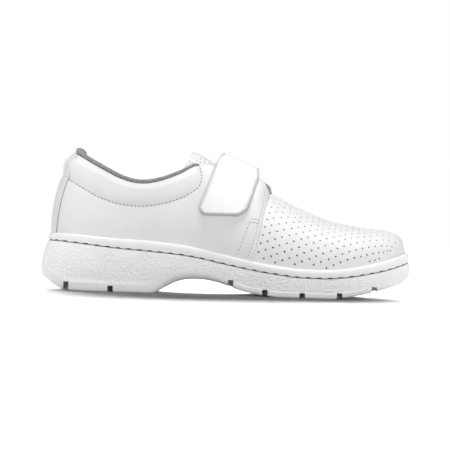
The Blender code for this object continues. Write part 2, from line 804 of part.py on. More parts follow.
def build_binding():
    """Soft roll on the collar's edge, between the fronts of the collar."""
    count = int(COLLAR_FRONT) * ROW_STEPS
    rows = [i / ROW_STEPS for i in range(count + 1)] + [COLLAR_FRONT]
    stations = [(1, row) for row in rows[:0:-1]] + [(-1, row) for row in rows]
    rings = []
    for side, row in stations:
        outer, inner = quarter_outer(side, row, 1.0), quarter_inner(side, row, 1.0)
        upward = (bare_wall(side, row, 1.0) - bare_wall(side, row, 0.97)).normalized()
        heel_extra = BINDING_HEEL_EXTRA * (1 - smooth_step(row / 3))
        front_loss = BINDING_FRONT_LOSS * smooth_step(row - COLLAR_FRONT + 1)
        height = BINDING_HEIGHT * (1 + heel_extra - front_loss)
        ring = []
        for corner in ROLL:
            point = outer.lerp(inner, corner.across)
            ring.append(point + (2 * CLEARANCE + corner.up * height) * upward)
        rings.append(ring)
    finish("collar_binding", tube(rings, closed=False), material("grey_textile", GREY_TEXTILE, 0.9))


def crown_point(row):
    rows = [entry.row for entry in CROWNS]
    index = max(i for i in range(len(rows) - 1) if rows[i] <= row)
    position = index + (row - rows[index]) / (rows[index + 1] - rows[index])
    spans = [after - before for before, after in zip(rows, rows[1:])]
    points = []
    for entry in CROWNS:
        x = last_x(entry.along)
        points.append(Vector((x, CENTRE_SHIFT, platform_height(x) + entry.rise * INSTEP_RISE)))
    return spline(points, spans, position)


def bridge(starts, towards, crown):
    """Bezier points across the instep that pass through the crown halfway."""
    reach = LEAD_SHARE * (starts[1] - starts[0]).length
    leads = [start + reach * way for start, way in zip(starts, towards)]
    shift = (8 * crown - starts[0] - starts[1] - 3 * leads[0] - 3 * leads[1]) / 6
    return [starts[0], leads[0] + shift, leads[1] + shift, starts[1]]


def tongue_line(row, depth):
    """Points across the tongue at one row, its edges under the quarters."""
    under = [1 - i / WALL_STEPS for i in range(TONGUE_UNDER_STEPS, -1, -1)]
    starts, ways, sides = [], [], {}
    for side in (-1, 1):
        line = [quarter_inner(side, row, share, 1.5 * CLEARANCE + depth) for share in under]
        sides[side] = line
        starts.append(line[-1])
        ways.append((line[-1] - line[-2]).normalized())
    crown = crown_point(row) - Vector((0.0, 0.0, depth))
    arch = bridge(starts, ways, crown)
    middle = [bezier(arch, i / BRIDGE_STEPS) for i in range(1, BRIDGE_STEPS)]
    return sides[-1] + middle + sides[1][::-1]


def build_tongue():
    first, last = CROWNS[0].row, CROWNS[-1].row
    rows = [i / ROW_STEPS for i in range(LAST_ROW * ROW_STEPS) if first < i / ROW_STEPS < last]
    rows = [first] + rows + [last]
    outer = [tongue_line(row, 0.0) for row in rows]
    inner = [tongue_line(row, TONGUE_THICKNESS) for row in rows]
    finish("tongue", slab(outer, inner), material("tongue_leather", LEATHER, 0.45))


def strap_row(side, share, distance):
    """Row of the quarters where the strap's line at a distance from its middle crosses."""
    across = Vector((math.cos(STRAP_LEAN), 0.0, -math.sin(STRAP_LEAN)))
    goal = (STRAP_PLACE - 0.5) * SHOE_LENGTH * across.x + distance
    low, high = 7.0, float(LAST_ROW)
    for _ in range(30):
        middle = (low + high) / 2
        if bare_wall(side, middle, share).dot(across) < goal:
            low = middle
        else:
            high = middle
    return (low + high) / 2


def strap_point(side, share, distance, depth):
    row = strap_row(side, share, distance)
    lying = smooth_step((share - LIFT_FULL) / (LIFT_END - LIFT_FULL))
    lift = CLEARANCE + STRAP_LIFT * (1 - lying) + depth
    return quarter_outer(side, row, share) + lift * wall_normal(side, row, share)


def share_at_height(side, distance, height):
    low, high = 0.0, 0.95
    for _ in range(30):
        middle = (low + high) / 2
        if strap_point(side, middle, distance, 0.0).z < height:
            low = middle
        else:
            high = middle
    return (low + high) / 2


def strap_end(side, distance):
    """Share of the wall where the strap ends, with its corners rounded on the outer side."""
    if side > 0:
        return share_at_height(side, distance, STRAP_INNER_HEIGHT)
    past = max(abs(distance) - (STRAP_WIDTH / 2 - STRAP_CORNER), 0.0)
    corner = STRAP_CORNER - math.sqrt(STRAP_CORNER**2 - past**2)
    return share_at_height(side, distance, STRAP_END_HEIGHT + corner)


def strap_line(distance, depth):
    starts, ways, sides = [], [], {}
    for side in (-1, 1):
        end = strap_end(side, distance)
        shares = [end + (1 - end) * i / WALL_STEPS for i in range(WALL_STEPS + 1)]
        line = [strap_point(side, share, distance, depth) for share in shares]
        sides[side] = line
        starts.append(line[-1])
        ways.append((line[-1] - line[-2]).normalized())
    back = 0.5 - distance / STRAP_WIDTH
    rise = Vector((STRAP_CROWN_LEAN * back, 0.0, STRAP_ARCH - STRAP_CROWN_DROP * (1 - back)))
    arch = bridge(starts, ways, (starts[0] + starts[1]) / 2 + rise)
    crown = [bezier(arch, i / BRIDGE_STEPS) for i in range(1, BRIDGE_STEPS)]
    return sides[-1] + crown + sides[1][::-1]


def build_strap():
    places = [STRAP_WIDTH / 2 * share for share in STRAP_PLACES]
    outer = [strap_line(place, STRAP_THICKNESS) for place in places]
    inner = [strap_line(place, 0.0) for place in places]
    finish("strap", slab(outer, inner), material("strap_leather", LEATHER, 0.38))


def build_insole():
    inset = -(VAMP_WALL + QUARTER_STEP + STRIP_STEP + CLEARANCE)
    rings = []
    for offset, rise in ((0.0, 0.0), (0.0, 1.0), (-INSOLE_CHAMFER, 1.0)):
        ring = []
        for side, row in loop_stations():
            point = outline(side, row, inset + offset)
            low = platform_height(point.x) + CLEARANCE
            up = rise * INSOLE_THICKNESS - (INSOLE_CHAMFER if offset == 0 and rise else 0.0)
            ring.append(flattened(point, low + up))
        rings.append(ring)
    finish("insole", tube(rings, closed=False), material("insole_textile", GREY_TEXTILE, 0.95))


for old in list(bpy.data.objects):
    bpy.data.objects.remove(old)
SHOE = bpy.data.collections.new("perforated_shoe")
CUTTERS = bpy.data.collections.new("cutters")
bpy.context.scene.collection.children.link(SHOE)
bpy.context.scene.collection.children.link(CUTTERS)

build_sole()
build_welt()
build_upper()
build_binding()
build_tongue()
build_strap()
build_insole()
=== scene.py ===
"""Dressed model of the perforated shoe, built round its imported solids.

Metres. +X points to the toe, -Y to the outer side of the foot and +Z up. The
wall of the upper is the one of the solids: its section tables are repeated
here, because this script can't read the file that they come from.

Places round the shoe are counted in rows of those tables, as one loop: 0 at
the heel, 14 at the outer front edge of the quarters, 22 at the toe, 30 at the
inner front edge, and from there on back to the heel, where 44 is 0 again.
"""

import json
import math
from collections import namedtuple

import bmesh
import bpy
import numpy as np
from mathutils import Matrix, Vector, noise
from mathutils.bvhtree import BVHTree
from mathutils.kdtree import KDTree

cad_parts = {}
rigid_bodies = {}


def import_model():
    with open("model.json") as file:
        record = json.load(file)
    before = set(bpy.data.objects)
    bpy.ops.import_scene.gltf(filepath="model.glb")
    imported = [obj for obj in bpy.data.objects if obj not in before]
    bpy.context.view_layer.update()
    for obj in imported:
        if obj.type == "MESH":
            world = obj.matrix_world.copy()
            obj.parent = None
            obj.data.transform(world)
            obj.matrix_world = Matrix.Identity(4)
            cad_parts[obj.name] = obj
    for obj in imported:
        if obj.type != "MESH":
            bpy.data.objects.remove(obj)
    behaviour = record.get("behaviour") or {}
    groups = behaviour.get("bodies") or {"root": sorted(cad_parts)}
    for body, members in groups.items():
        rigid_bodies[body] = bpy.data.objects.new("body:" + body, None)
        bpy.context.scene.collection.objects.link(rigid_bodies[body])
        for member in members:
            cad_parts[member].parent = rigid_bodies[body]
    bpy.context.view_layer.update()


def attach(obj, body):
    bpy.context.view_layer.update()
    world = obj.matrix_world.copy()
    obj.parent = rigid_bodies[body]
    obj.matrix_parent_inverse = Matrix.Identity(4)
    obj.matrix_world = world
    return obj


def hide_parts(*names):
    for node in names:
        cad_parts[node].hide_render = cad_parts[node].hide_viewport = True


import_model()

# Sizes of the solids; only the strap's free end lies 0.8 mm farther out here
SHOE_LENGTH = 0.290
BALL_WIDTH = 0.0965
HEEL_WIDTH = 0.0645
HEEL_PLATFORM = 0.0382
COLLAR_RISE = 0.0698
INSTEP_RISE = 0.0612
CLEARANCE = 0.0003
WELT_WIDTH = 0.0030
WELT_HEIGHT = 0.0084
HEEL_FLARE = 0.0051
HEEL_BEVEL = 0.0124
ARCH_HEIGHT = 0.0118
TOE_SPRING = 0.0210
EDGE_ROUND = 0.0050
LUG_PROUD = 0.0006
SLOT_WIDTH = 0.0042
SLOT_DEPTH = 0.0045
SLOT_REACH = 0.0220
FLARE_POWER = 1.8
VAMP_WALL = 0.0020
QUARTER_STEP = 0.0014
STRIP_STEP = 0.0008
COLLAR_PAD = 0.0045
BINDING_HEIGHT = 0.0037
BINDING_HEEL_EXTRA = 0.45
BINDING_FRONT_LOSS = 0.35
INSOLE_THICKNESS = 0.0050
TONGUE_THICKNESS = 0.0025
STRAP_WIDTH = 0.0357
STRAP_THICKNESS = 0.0030
STRAP_LIFT = 0.0020
STRAP_ARCH = 0.0090
STRAP_CROWN_LEAN = 0.0050
STRAP_CROWN_DROP = 0.0035
STRAP_LEAN = math.radians(18.5)
STRAP_PLACE = 0.413
STRAP_CORNER = 0.0080
STRAP_END_HEIGHT = 0.0612
STRAP_INNER_HEIGHT = 0.0560
FACING_SHARE = 0.80
STRIP_ROW = 2
STEP_ROW = 10
STEP_ROWS = 3
PAD_ROW = 7
COLLAR_FRONT = 9.2
PAD_START = 0.50
PAD_FULL = 0.85
LIFT_FULL = 0.20
LIFT_END = 0.80
VAMP_THINNING = 1.5
LEAD_SHARE = 0.35

Platform = namedtuple("Platform", "along height bead")
PLATFORM = [Platform(*row) for row in (
    (0.000, 1.000, 0.71), (0.050, 0.992, 0.74), (0.105, 0.955, 0.82),
    (0.214, 0.872, 0.92), (0.295, 0.832, 1.00), (0.376, 0.782, 0.97),
    (0.431, 0.725, 0.92), (0.485, 0.643, 0.88), (0.567, 0.527, 0.82),
    (0.621, 0.463, 0.79), (0.702, 0.400, 0.80), (0.757, 0.393, 0.80),
    (0.811, 0.422, 0.82), (0.864, 0.489, 0.86), (0.918, 0.582, 0.92),
    (0.972, 0.716, 0.96), (1.000, 0.805, 0.92),
)]

Underside = namedtuple("Underside", "along bevel arch spring")
UNDERSIDE = [Underside(*row) for row in (
    (0.000, 1.00, 0.00, 0.00), (0.027, 0.60, 0.00, 0.00), (0.055, 0.20, 0.00, 0.00),
    (0.076, 0.03, 0.00, 0.00), (0.088, 0.00, 0.00, 0.00), (0.160, 0.00, 0.00, 0.00),
    (0.235, 0.00, 0.00, 0.00), (0.310, 0.00, 0.00, 0.00), (0.325, 0.00, 0.18, 0.00),
    (0.338, 0.00, 0.38, 0.00), (0.352, 0.00, 0.56, 0.00), (0.365, 0.00, 0.74, 0.00),
    (0.379, 0.00, 0.86, 0.00), (0.392, 0.00, 0.94, 0.00), (0.415, 0.00, 1.00, 0.00),
    (0.443, 0.00, 0.98, 0.00), (0.471, 0.00, 0.88, 0.00), (0.491, 0.00, 0.76, 0.00),
    (0.509, 0.00, 0.61, 0.00), (0.528, 0.00, 0.46, 0.00), (0.547, 0.00, 0.33, 0.00),
    (0.569, 0.00, 0.21, 0.00), (0.596, 0.00, 0.12, 0.00), (0.622, 0.00, 0.04, 0.00),
    (0.650, 0.00, 0.00, 0.00), (0.715, 0.00, 0.00, 0.00), (0.784, 0.00, 0.00, 0.00),
    (0.812, 0.00, 0.00, 0.05), (0.839, 0.00, 0.00, 0.11), (0.866, 0.00, 0.00, 0.19),
    (0.893, 0.00, 0.00, 0.28), (0.920, 0.00, 0.00, 0.38), (0.947, 0.00, 0.00, 0.49),
    (0.973, 0.00, 0.00, 0.62), (0.990, 0.00, 0.00, 0.79), (1.000, 0.00, 0.00, 1.00),
)]

Side = namedtuple("Side", "along flare edge_in edge_up lug")
SIDE = [Side(*row) for row in (
    (0.000, 1.00, 0.20, 0.85, 0.00), (0.060, 0.85, 0.25, 0.45, 0.00), (0.100, 0.70, 0.30, 0.30, 1.00),
    (0.200, 0.60, 0.30, 0.28, 1.00), (0.290, 0.50, 0.30, 0.28, 0.60), (0.320, 0.45, 0.60, 0.65, 0.00),
    (0.360, 0.32, 1.00, 1.00, 0.00), (0.430, 0.20, 1.00, 0.95, 0.00), (0.490, 0.18, 0.80, 0.65, 0.00),
    (0.540, 0.18, 0.40, 0.32, 0.50), (0.620, 0.20, 0.30, 0.28, 0.70), (0.800, 0.20, 0.30, 0.28, 0.70),
    (0.900, 0.22, 0.30, 0.30, 0.40), (0.960, 0.25, 0.30, 0.36, 0.00), (1.000, 0.25, 0.30, 0.42, 0.00),
)]

Slot = namedtuple("Slot", "along depth")
SLOTS = [Slot(*row) for row in (
    (0.077, 1.45), (0.196, 1.04), (0.515, 1.20), (0.606, 1.00),
    (0.704, 0.87), (0.803, 0.90), (0.896, 0.87),
)]

Quarter = namedtuple(
    "Quarter",
    "along outer inner top_along top_outer top_inner top_rise inner_extra start end climb slant",
)
QUARTERS = [Quarter(*row) for row in (
    (0.000, 0.000, 0.000, 0.061, 0.000, 0.000, 1.003, 0.000, 0.40, 0.36, 1.7, 0.00),
    (0.005, 0.147, 0.147, 0.063, 0.070, 0.070, 0.996, 0.000, 0.40, 0.36, 1.8, 0.00),
    (0.019, 0.284, 0.279, 0.070, 0.140, 0.140, 0.978, 0.000, 0.40, 0.35, 2.2, 0.05),
    (0.048, 0.411, 0.403, 0.095, 0.233, 0.233, 0.932, 0.000, 0.38, 0.34, 3.0, 0.15),
    (0.102, 0.488, 0.473, 0.138, 0.333, 0.333, 0.858, 0.000, 0.38, 0.33, 5.0, 0.30),
    (0.174, 0.512, 0.488, 0.196, 0.403, 0.403, 0.772, 0.000, 0.38, 0.33, 6.0, 0.30),
    (0.254, 0.518, 0.473, 0.250, 0.434, 0.434, 0.741, 0.000, 0.38, 0.33, 6.0, 0.30),
    (0.326, 0.514, 0.430, 0.304, 0.434, 0.434, 0.790, 0.000, 0.38, 0.33, 4.5, 0.30),
    (0.383, 0.497, 0.393, 0.358, 0.388, 0.388, 0.893, 0.000, 0.38, 0.33, 3.0, 0.30),
    (0.427, 0.487, 0.376, 0.403, 0.318, 0.318, 1.012, 0.000, 0.38, 0.33, 1.6, 0.30),
    (0.470, 0.480, 0.369, 0.445, 0.279, 0.279, 1.062, 0.000, 0.38, 0.33, 1.15, 0.30),
    (0.513, 0.478, 0.371, 0.506, 0.248, 0.248, 1.046, 0.000, 0.38, 0.33, 0.95, 0.35),
    (0.545, 0.480, 0.378, 0.563, 0.225, 0.225, 1.013, 0.012, 0.38, 0.33, 0.80, 0.40),
    (0.560, 0.481, 0.381, 0.594, 0.214, 0.214, 0.975, 0.020, 0.38, 0.33, 0.65, 0.45),
)]

Vamp = namedtuple("Vamp", "along outer inner top_along top_side top_rise start end slant")
VAMPS = [Vamp(*row) for row in (
    (0.565, 0.482, 0.383, 0.621, 0.021, 1.001, 0.36, 0.42, 0.50),
    (0.639, 0.498, 0.427, 0.661, 0.031, 0.933, 0.38, 0.42, 0.40),
    (0.718, 0.512, 0.477, 0.715, 0.036, 0.841, 0.38, 0.44, 0.30),
    (0.794, 0.497, 0.490, 0.772, 0.041, 0.746, 0.38, 0.46, 0.20),
    (0.862, 0.451, 0.469, 0.826, 0.041, 0.666, 0.39, 0.48, 0.10),
    (0.916, 0.378, 0.419, 0.870, 0.041, 0.602, 0.41, 0.49, 0.05),
    (0.960, 0.269, 0.330, 0.895, 0.041, 0.565, 0.43, 0.50, 0.04),
    (0.987, 0.145, 0.218, 0.909, 0.041, 0.544, 0.45, 0.50, 0.04),
    (1.000, -0.041, 0.041, 0.916, 0.041, 0.535, 0.46, 0.50, 0.04),
)]

Crown = namedtuple("Crown", "row along rise")
CROWNS = [Crown(*row) for row in (
    (8.10, 0.388, 1.340), (8.60, 0.396, 1.330), (9.10, 0.412, 1.318), (10.00, 0.452, 1.250),
    (11.00, 0.507, 1.190), (12.00, 0.565, 1.125), (13.00, 0.598, 1.070), (13.60, 0.611, 1.030),
)]

LAST_LENGTH = SHOE_LENGTH - 2 * WELT_WIDTH - (SIDE[0].flare + SIDE[-1].flare) * HEEL_FLARE
HEEL_BACK = -SHOE_LENGTH / 2 + WELT_WIDTH + SIDE[0].flare * HEEL_FLARE
FRONT = len(QUARTERS)
TOE = FRONT + len(VAMPS) - 1
LOOP = 2 * TOE

# Fine sizes of the dressed pieces
GRID = 0.0013
LEATHER = 0.0015
QUARTER_HEIGHT = 0.068
VAMP_HEIGHT = 0.080
HALFWAY_UP = 0.45


def smooth_step(value):
    value = np.clip(value, 0.0, 1.0)
    return value * value * (3 - 2 * value)


def hermite(start, end, leaving, arriving, share):
    """Cubic from start to end with the given tangents."""
    rise = end - start
    bend = 3 * rise - 2 * leaving - arriving
    return start + share * (leaving + share * (bend + share * (leaving + arriving - 2 * rise)))


def profile(rows, column, share):
    """Values of a table's column at shares of the length, smooth and without overshoot."""
    keys = np.array([row.along for row in rows])
    values = np.array([getattr(row, column) for row in rows])
    spans = np.diff(keys)
    slopes = np.diff(values) / spans
    before, after = slopes[:-1], slopes[1:]
    total = np.where(before * after > 0, before + after, 1.0)
    inner = np.where(before * after > 0, 2 * before * after / total, 0.0)
    tangent = np.concatenate([slopes[:1], inner, slopes[-1:]])
    share = np.clip(share, keys[0], keys[-1])
    index = np.clip(np.searchsorted(keys, share, side="right") - 1, 0, len(keys) - 2)
    span = spans[index]
    return hermite(
        values[index], values[index + 1], tangent[index] * span, tangent[index + 1] * span,
        (share - keys[index]) / span,
    )


def spline(points, spans, position):
    """Points at positions counted in the list's indices; spans are the distances between points."""
    points, spans = np.asarray(points, float), np.asarray(spans, float)
    position = np.asarray(position, float)
    slopes = np.diff(points, axis=0) / spans[:, None]
    before, after = spans[:-1, None], spans[1:, None]
    inner = (slopes[:-1] * after + slopes[1:] * before) / (before + after)
    tangent = np.concatenate([slopes[:1], inner, slopes[-1:]])
    index = np.clip(position.astype(int), 0, len(points) - 2)
    span = spans[index][..., None]
    share = (position - index)[..., None]
    return hermite(points[index], points[index + 1], tangent[index] * span, tangent[index + 1] * span, share)


def unit(vectors):
    return vectors / np.linalg.norm(vectors, axis=-1, keepdims=True)


def run_along(line):
    """Distances along a line from its first point to each of its points."""
    return np.concatenate([[0.0], np.cumsum(np.linalg.norm(np.diff(line, axis=0), axis=1))])


def halving(low, high, short, turns):
    """Values between two arrays up to which short(values) holds, by halving."""
    for _ in range(turns):
        middle = (low + high) / 2
        below = short(middle)
        low, high = np.where(below, middle, low), np.where(below, high, middle)
    return (low + high) / 2


def sole_share(x):
    return x / SHOE_LENGTH + 0.5


def platform_height(x):
    return HEEL_PLATFORM * profile(PLATFORM, "height", sole_share(x))


def bead_top(x):
    return platform_height(x) + WELT_HEIGHT * profile(PLATFORM, "bead", sole_share(x))


def underside_height(x):
    share = sole_share(x)
    bevel = HEEL_BEVEL * profile(UNDERSIDE, "bevel", share)
    arch = ARCH_HEIGHT * profile(UNDERSIDE, "arch", share)
    return bevel + arch + TOE_SPRING * profile(UNDERSIDE, "spring", share)


def last_x(share):
    return HEEL_BACK + share * LAST_LENGTH


def last_width(share):
    return HEEL_WIDTH + (BALL_WIDTH - HEEL_WIDTH) * smooth_step((share - 0.25) / 0.40)


def widest(column):
    return max(getattr(row, column) * last_width(row.along) for row in VAMPS)


CENTRE_SHIFT = (widest("outer") - widest("inner")) / 2


def outline_rows(side):
    points = []
    for row in QUARTERS + VAMPS:
        share = row.outer if side < 0 else row.inner
        points.append((last_x(row.along), side * share * last_width(row.along) + CENTRE_SHIFT))
    return points


OUTLINE = outline_rows(-1) + outline_rows(1)[-2:0:-1]
SPANS = [math.sqrt(math.dist(a, b)) for a, b in zip(OUTLINE[:TOE], OUTLINE[1:TOE + 1])]
LOOP_SPANS = SPANS + SPANS[::-1]


def outline_point(place):
    """Points of the last's bottom at places round the loop."""
    points = OUTLINE[-2:] + OUTLINE + OUTLINE[:3]
    spans = LOOP_SPANS[-2:] + LOOP_SPANS + LOOP_SPANS[:2]
    return spline(points, spans, np.mod(place, LOOP) + 2)


def outline_outward(place):
    along = outline_point(place + 0.05) - outline_point(place - 0.05)
    return unit(np.stack([along[..., 1], -along[..., 0]], axis=-1))


def outline(place, offset=0.0):
    """Points of the outline moved outwards by the offset."""
    return outline_point(place) + np.asarray(offset)[..., None] * outline_outward(place)


def raised(points, height):
    """Points in plan with their heights."""
    height = np.broadcast_to(height, points.shape[:-1])
    return np.concatenate([points, height[..., None]], axis=-1)


def foot_of(place):
    foot = outline_point(place)
    return raised(foot, bead_top(foot[..., 0]))


def section(place, top, start, end, slant, climb, ridge_slope):
    """Bezier points of one wall section, from the top of the welt to its top."""
    foot = foot_of(np.array(place, float))
    inward = raised(-outline_outward(np.array(place, float)), 0.0)
    span = np.linalg.norm(top - foot)
    lift = foot + np.array([(top[0] - foot[0]) * slant, 0.0, start * span])
    across = unit(np.array([top[0] - foot[0], top[1] - foot[1], 0.0]))
    level = unit(inward + across)
    arrival = unit(np.array([level[0], level[1], climb + level[0] * ridge_slope]))
    return np.array([foot, lift, top - end * span * arrival, top])


def loop_place(side, row):
    return row if side < 0 else LOOP - row


def vamp_sections(side):
    tops = []
    for row in VAMPS:
        x = last_x(row.top_along)
        y = row.top_side * BALL_WIDTH + CENTRE_SHIFT
        tops.append(np.array([x, y, platform_height(x) + row.top_rise * INSTEP_RISE]))
    sections = []
    for index, row in enumerate(VAMPS):
        behind, ahead = tops[max(index - 1, 0)], tops[min(index + 1, len(tops) - 1)]
        slope = (ahead[2] - behind[2]) / (ahead[0] - behind[0])
        place = loop_place(side, FRONT + index)
        sections.append(section(place, tops[index], row.start, row.end, row.slant, 0.0, slope))
    return sections


def first_part(points, share):
    """Bezier points of the part of a curve before a share of it."""
    a, b, c, d = points
    ab, bc, cd = a + share * (b - a), b + share * (c - b), c + share * (d - c)
    abc, bcd = ab + share * (bc - ab), bc + share * (cd - bc)
    return np.array([a, ab, abc, abc + share * (bcd - abc)])


def quarter_sections(side):
    sections = []
    for index, row in enumerate(QUARTERS):
        x = last_x(row.top_along)
        top_share = row.top_outer if side < 0 else row.top_inner
        rise = row.top_rise + (row.inner_extra if side > 0 else 0.0)
        y = side * top_share * HEEL_WIDTH + CENTRE_SHIFT
        top = np.array([x, y, platform_height(x) + rise * COLLAR_RISE])
        place = loop_place(side, index)
        sections.append(section(place, top, row.start, row.end, row.slant, row.climb, 0.0))
    sections.append(first_part(vamp_sections(side)[0], FACING_SHARE))
    return sections


# Each wall: its sections in the order of the loop, their spans, and the places where it starts and ends
Wall = namedtuple("Wall", "sections spans first last")
QUARTER_WALL = Wall(
    np.array(quarter_sections(1)[:0:-1] + quarter_sections(-1)),
    SPANS[:FRONT][::-1] + SPANS[:FRONT], -FRONT, FRONT,
)
VAMP_WALL_SECTIONS = Wall(
    np.array(vamp_sections(-1) + vamp_sections(1)[-2::-1]),
    SPANS[FRONT:] + SPANS[FRONT:][::-1], FRONT, LOOP - FRONT,
)


def weights(share):
    rest = 1 - share
    return np.stack([rest**3, 3 * rest**2 * share, 3 * rest * share**2, share**3], axis=-1)


def wall(kind, place, share):
    """Points of a wall at places and shares of its height, two arrays that broadcast."""
    place, share = np.broadcast_arrays(np.asarray(place, float), np.asarray(share, float))
    table = kind.sections.reshape(len(kind.sections), -1)
    curves = spline(table, kind.spans, place - kind.first).reshape(place.shape + (4, 3))
    curves[..., 0, :] = foot_of(place)
    return np.einsum("...k,...kd->...d", weights(share), curves)


def wall_normal(kind, place, share):
    """Outward normals of a wall; on the vamp's ridge both sides share one."""
    step = 0.02
    place, share = np.broadcast_arrays(np.asarray(place, float), np.asarray(share, float))
    if kind is VAMP_WALL_SECTIONS:
        ridge = share > 0.9999
        held = np.minimum(share, 1 - step)
    else:
        ridge = np.zeros(share.shape, bool)
        held = share

    def one(place):
        before = wall(kind, np.maximum(place - step, kind.first), held)
        after = wall(kind, np.minimum(place + step, kind.last), held)
        below = wall(kind, place, np.maximum(held - step, 0.0))
        above = wall(kind, place, np.minimum(held + step, 1.0))
        return unit(np.cross(after - before, above - below))

    normal = one(place)
    if ridge.any():
        both = unit(normal + one(LOOP - place))
        normal = np.where(ridge[..., None], both, normal)
    return normal


def layer(row):
    """How far the quarters stand out from the wall: the step on the vamp."""
    return QUARTER_STEP * smooth_step((row - STEP_ROW) / STEP_ROWS)


def thickness(row, share):
    pad_height = smooth_step((share - PAD_START) / (PAD_FULL - PAD_START))
    pad_length = 1 - smooth_step((row - PAD_ROW) / (COLLAR_FRONT - PAD_ROW))
    return VAMP_WALL + QUARTER_STEP + COLLAR_PAD * pad_height * pad_length


def quarter_at(place, share):
    """Points of the quarters' outer face."""
    step = layer(np.abs(place))[..., None]
    return wall(QUARTER_WALL, place, share) + step * wall_normal(QUARTER_WALL, place, share)


def quarter_inner(place, share, extra=0.0):
    row = np.abs(place)
    depth = np.asarray(thickness(row, share) + extra)
    return wall(QUARTER_WALL, place, share) - depth[..., None] * wall_normal(QUARTER_WALL, place, share)


def even_places(kind, share, step):
    """Places from a wall's start to its end, a step apart along a line at a share of its height."""
    fine = np.linspace(kind.first, kind.last, 1200)
    points = wall(kind, fine, share)
    run = run_along(points)
    half = np.interp(np.linspace(0, run[-1] / 2, math.ceil(run[-1] / 2 / step) + 1), run, fine)
    middle = (kind.first + kind.last) / 2
    half[-1] = middle
    return np.concatenate([half, 2 * middle - half[-2::-1]])


# Building meshes
def numbered(grid):
    """The number of each point of a grid."""
    rows, columns = grid.shape[:2]
    return np.arange(rows * columns).reshape(rows, columns)


def quads(index):
    corners = [index[:-1, :-1], index[1:, :-1], index[1:, 1:], index[:-1, 1:]]
    return np.stack(corners, axis=-1).reshape(-1, 4)


def strip(first, second):
    return np.stack([first[:-1], first[1:], second[1:], second[:-1]], axis=-1)


def placed(name, data):
    """Object of a mesh, lamp or camera, linked into the scene."""
    made = bpy.data.objects.new(name, data)
    bpy.context.scene.collection.objects.link(made)
    return made


def make(name, points, faces, materials, slots=None, weld=True, sharp=40, slot=None):
    """Mesh object from points and faces, riding on the shoe; slots gives each face's material."""
    mesh = bpy.data.meshes.new(name)
    mesh.from_pydata([tuple(p) for p in points], [], [tuple(int(i) for i in f) for f in faces])
    for material in materials:
        mesh.materials.append(material)
    if slots is not None:
        mesh.polygons.foreach_set("material_index", np.asarray(slots, np.int32))
    data = bmesh.new()
    data.from_mesh(mesh)
    if weld:
        bmesh.ops.remove_doubles(data, verts=data.verts, dist=2e-6)
        bmesh.ops.dissolve_degenerate(data, edges=data.edges, dist=1e-6)
    bmesh.ops.recalc_face_normals(data, faces=data.faces)
    data.to_mesh(mesh)
    data.free()
    mesh.shade_smooth()
    if sharp:
        mesh.set_sharp_from_angle(angle=math.radians(sharp))
    made = placed(name, mesh)
    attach(made, "root")
    return made


def shell(name, front, back, materials, ridge=False, rim=False, **options):
    """Closed solid between two grids; its second material is for the back, and with rim for the edges
    too, and ridge leaves the last column to be welded to itself."""
    outer = numbered(front)
    inner = outer + outer.size
    parts = [quads(outer), quads(inner), strip(outer[:, 0], inner[:, 0])]
    parts += [strip(outer[0], inner[0]), strip(outer[-1], inner[-1])]
    if not ridge:
        parts.append(strip(outer[:, -1], inner[:, -1]))
    second = [len(materials) > 1 and (part == 1 or rim and part > 1) for part in range(len(parts))]
    slots = np.repeat(np.array(second, int), [len(part) for part in parts])
    points = np.concatenate([front.reshape(-1, 3), back.reshape(-1, 3)])
    return make(name, points, np.concatenate(parts), materials, slots, **options)


def bevelled(piece, width):
    bevel = piece.modifiers.new("edges", "BEVEL")
    bevel.width = width
    bevel.segments = 2
    bevel.limit_method = "ANGLE"
    bevel.angle_limit = math.radians(50)
    bevel.harden_normals = False


def cut_away(piece, mesh, material, solver):
    """Takes the room of a mesh out of the piece."""
    mesh.materials.append(material)
    cutter = placed("cutter", mesh)
    cut = piece.modifiers.new("cut", "BOOLEAN")
    cut.operation = "DIFFERENCE"
    cut.solver = solver
    cut.object = cutter
    bpy.context.view_layer.update()
    graph = bpy.context.evaluated_depsgraph_get()
    result = bpy.data.meshes.new_from_object(piece.evaluated_get(graph))
    piece.modifiers.clear()
    old = piece.data
    piece.data = result
    bpy.data.meshes.remove(old)
    bpy.data.objects.remove(cutter)


def joined(meshes):
    """Points, faces and slots of several lists of them, as one."""
    points, faces, slots, count = [], [], [], 0
    for own_points, own_faces, own_slot in meshes:
        points.append(np.asarray(own_points))
        faces += [[i + count for i in face] for face in own_faces]
        slots += [own_slot] * len(own_faces)
        count += len(own_points)
    return np.concatenate(points), faces, slots


# Materials
def shader_of(name):
    made = bpy.data.materials.new(name)
    made.use_nodes = True
    return made, made.node_tree, made.node_tree.nodes["Principled BSDF"]


def feed(tree, node, **inputs):
    """Sets a node's sockets, or links those whose value is another node's output."""
    for key, value in inputs.items():
        socket = node.inputs[key.replace("_", " ")]
        if isinstance(value, bpy.types.NodeSocket):
            tree.links.new(value, socket)
        else:
            socket.default_value = value


def add_node(tree, kind, settings=None, **inputs):
    node = tree.nodes.new(kind)
    for key, value in (settings or {}).items():
        setattr(node, key, value)
    feed(tree, node, **inputs)
    return node


def noise_of(tree, **inputs):
    return add_node(tree, "ShaderNodeTexNoise", **inputs).outputs["Fac"]


def pebbles_of(tree, **inputs):
    return add_node(tree, "ShaderNodeTexVoronoi", {"feature": "SMOOTH_F1"}, **inputs).outputs["Distance"]


def bump_of(tree, **inputs):
    return add_node(tree, "ShaderNodeBump", **inputs).outputs[0]


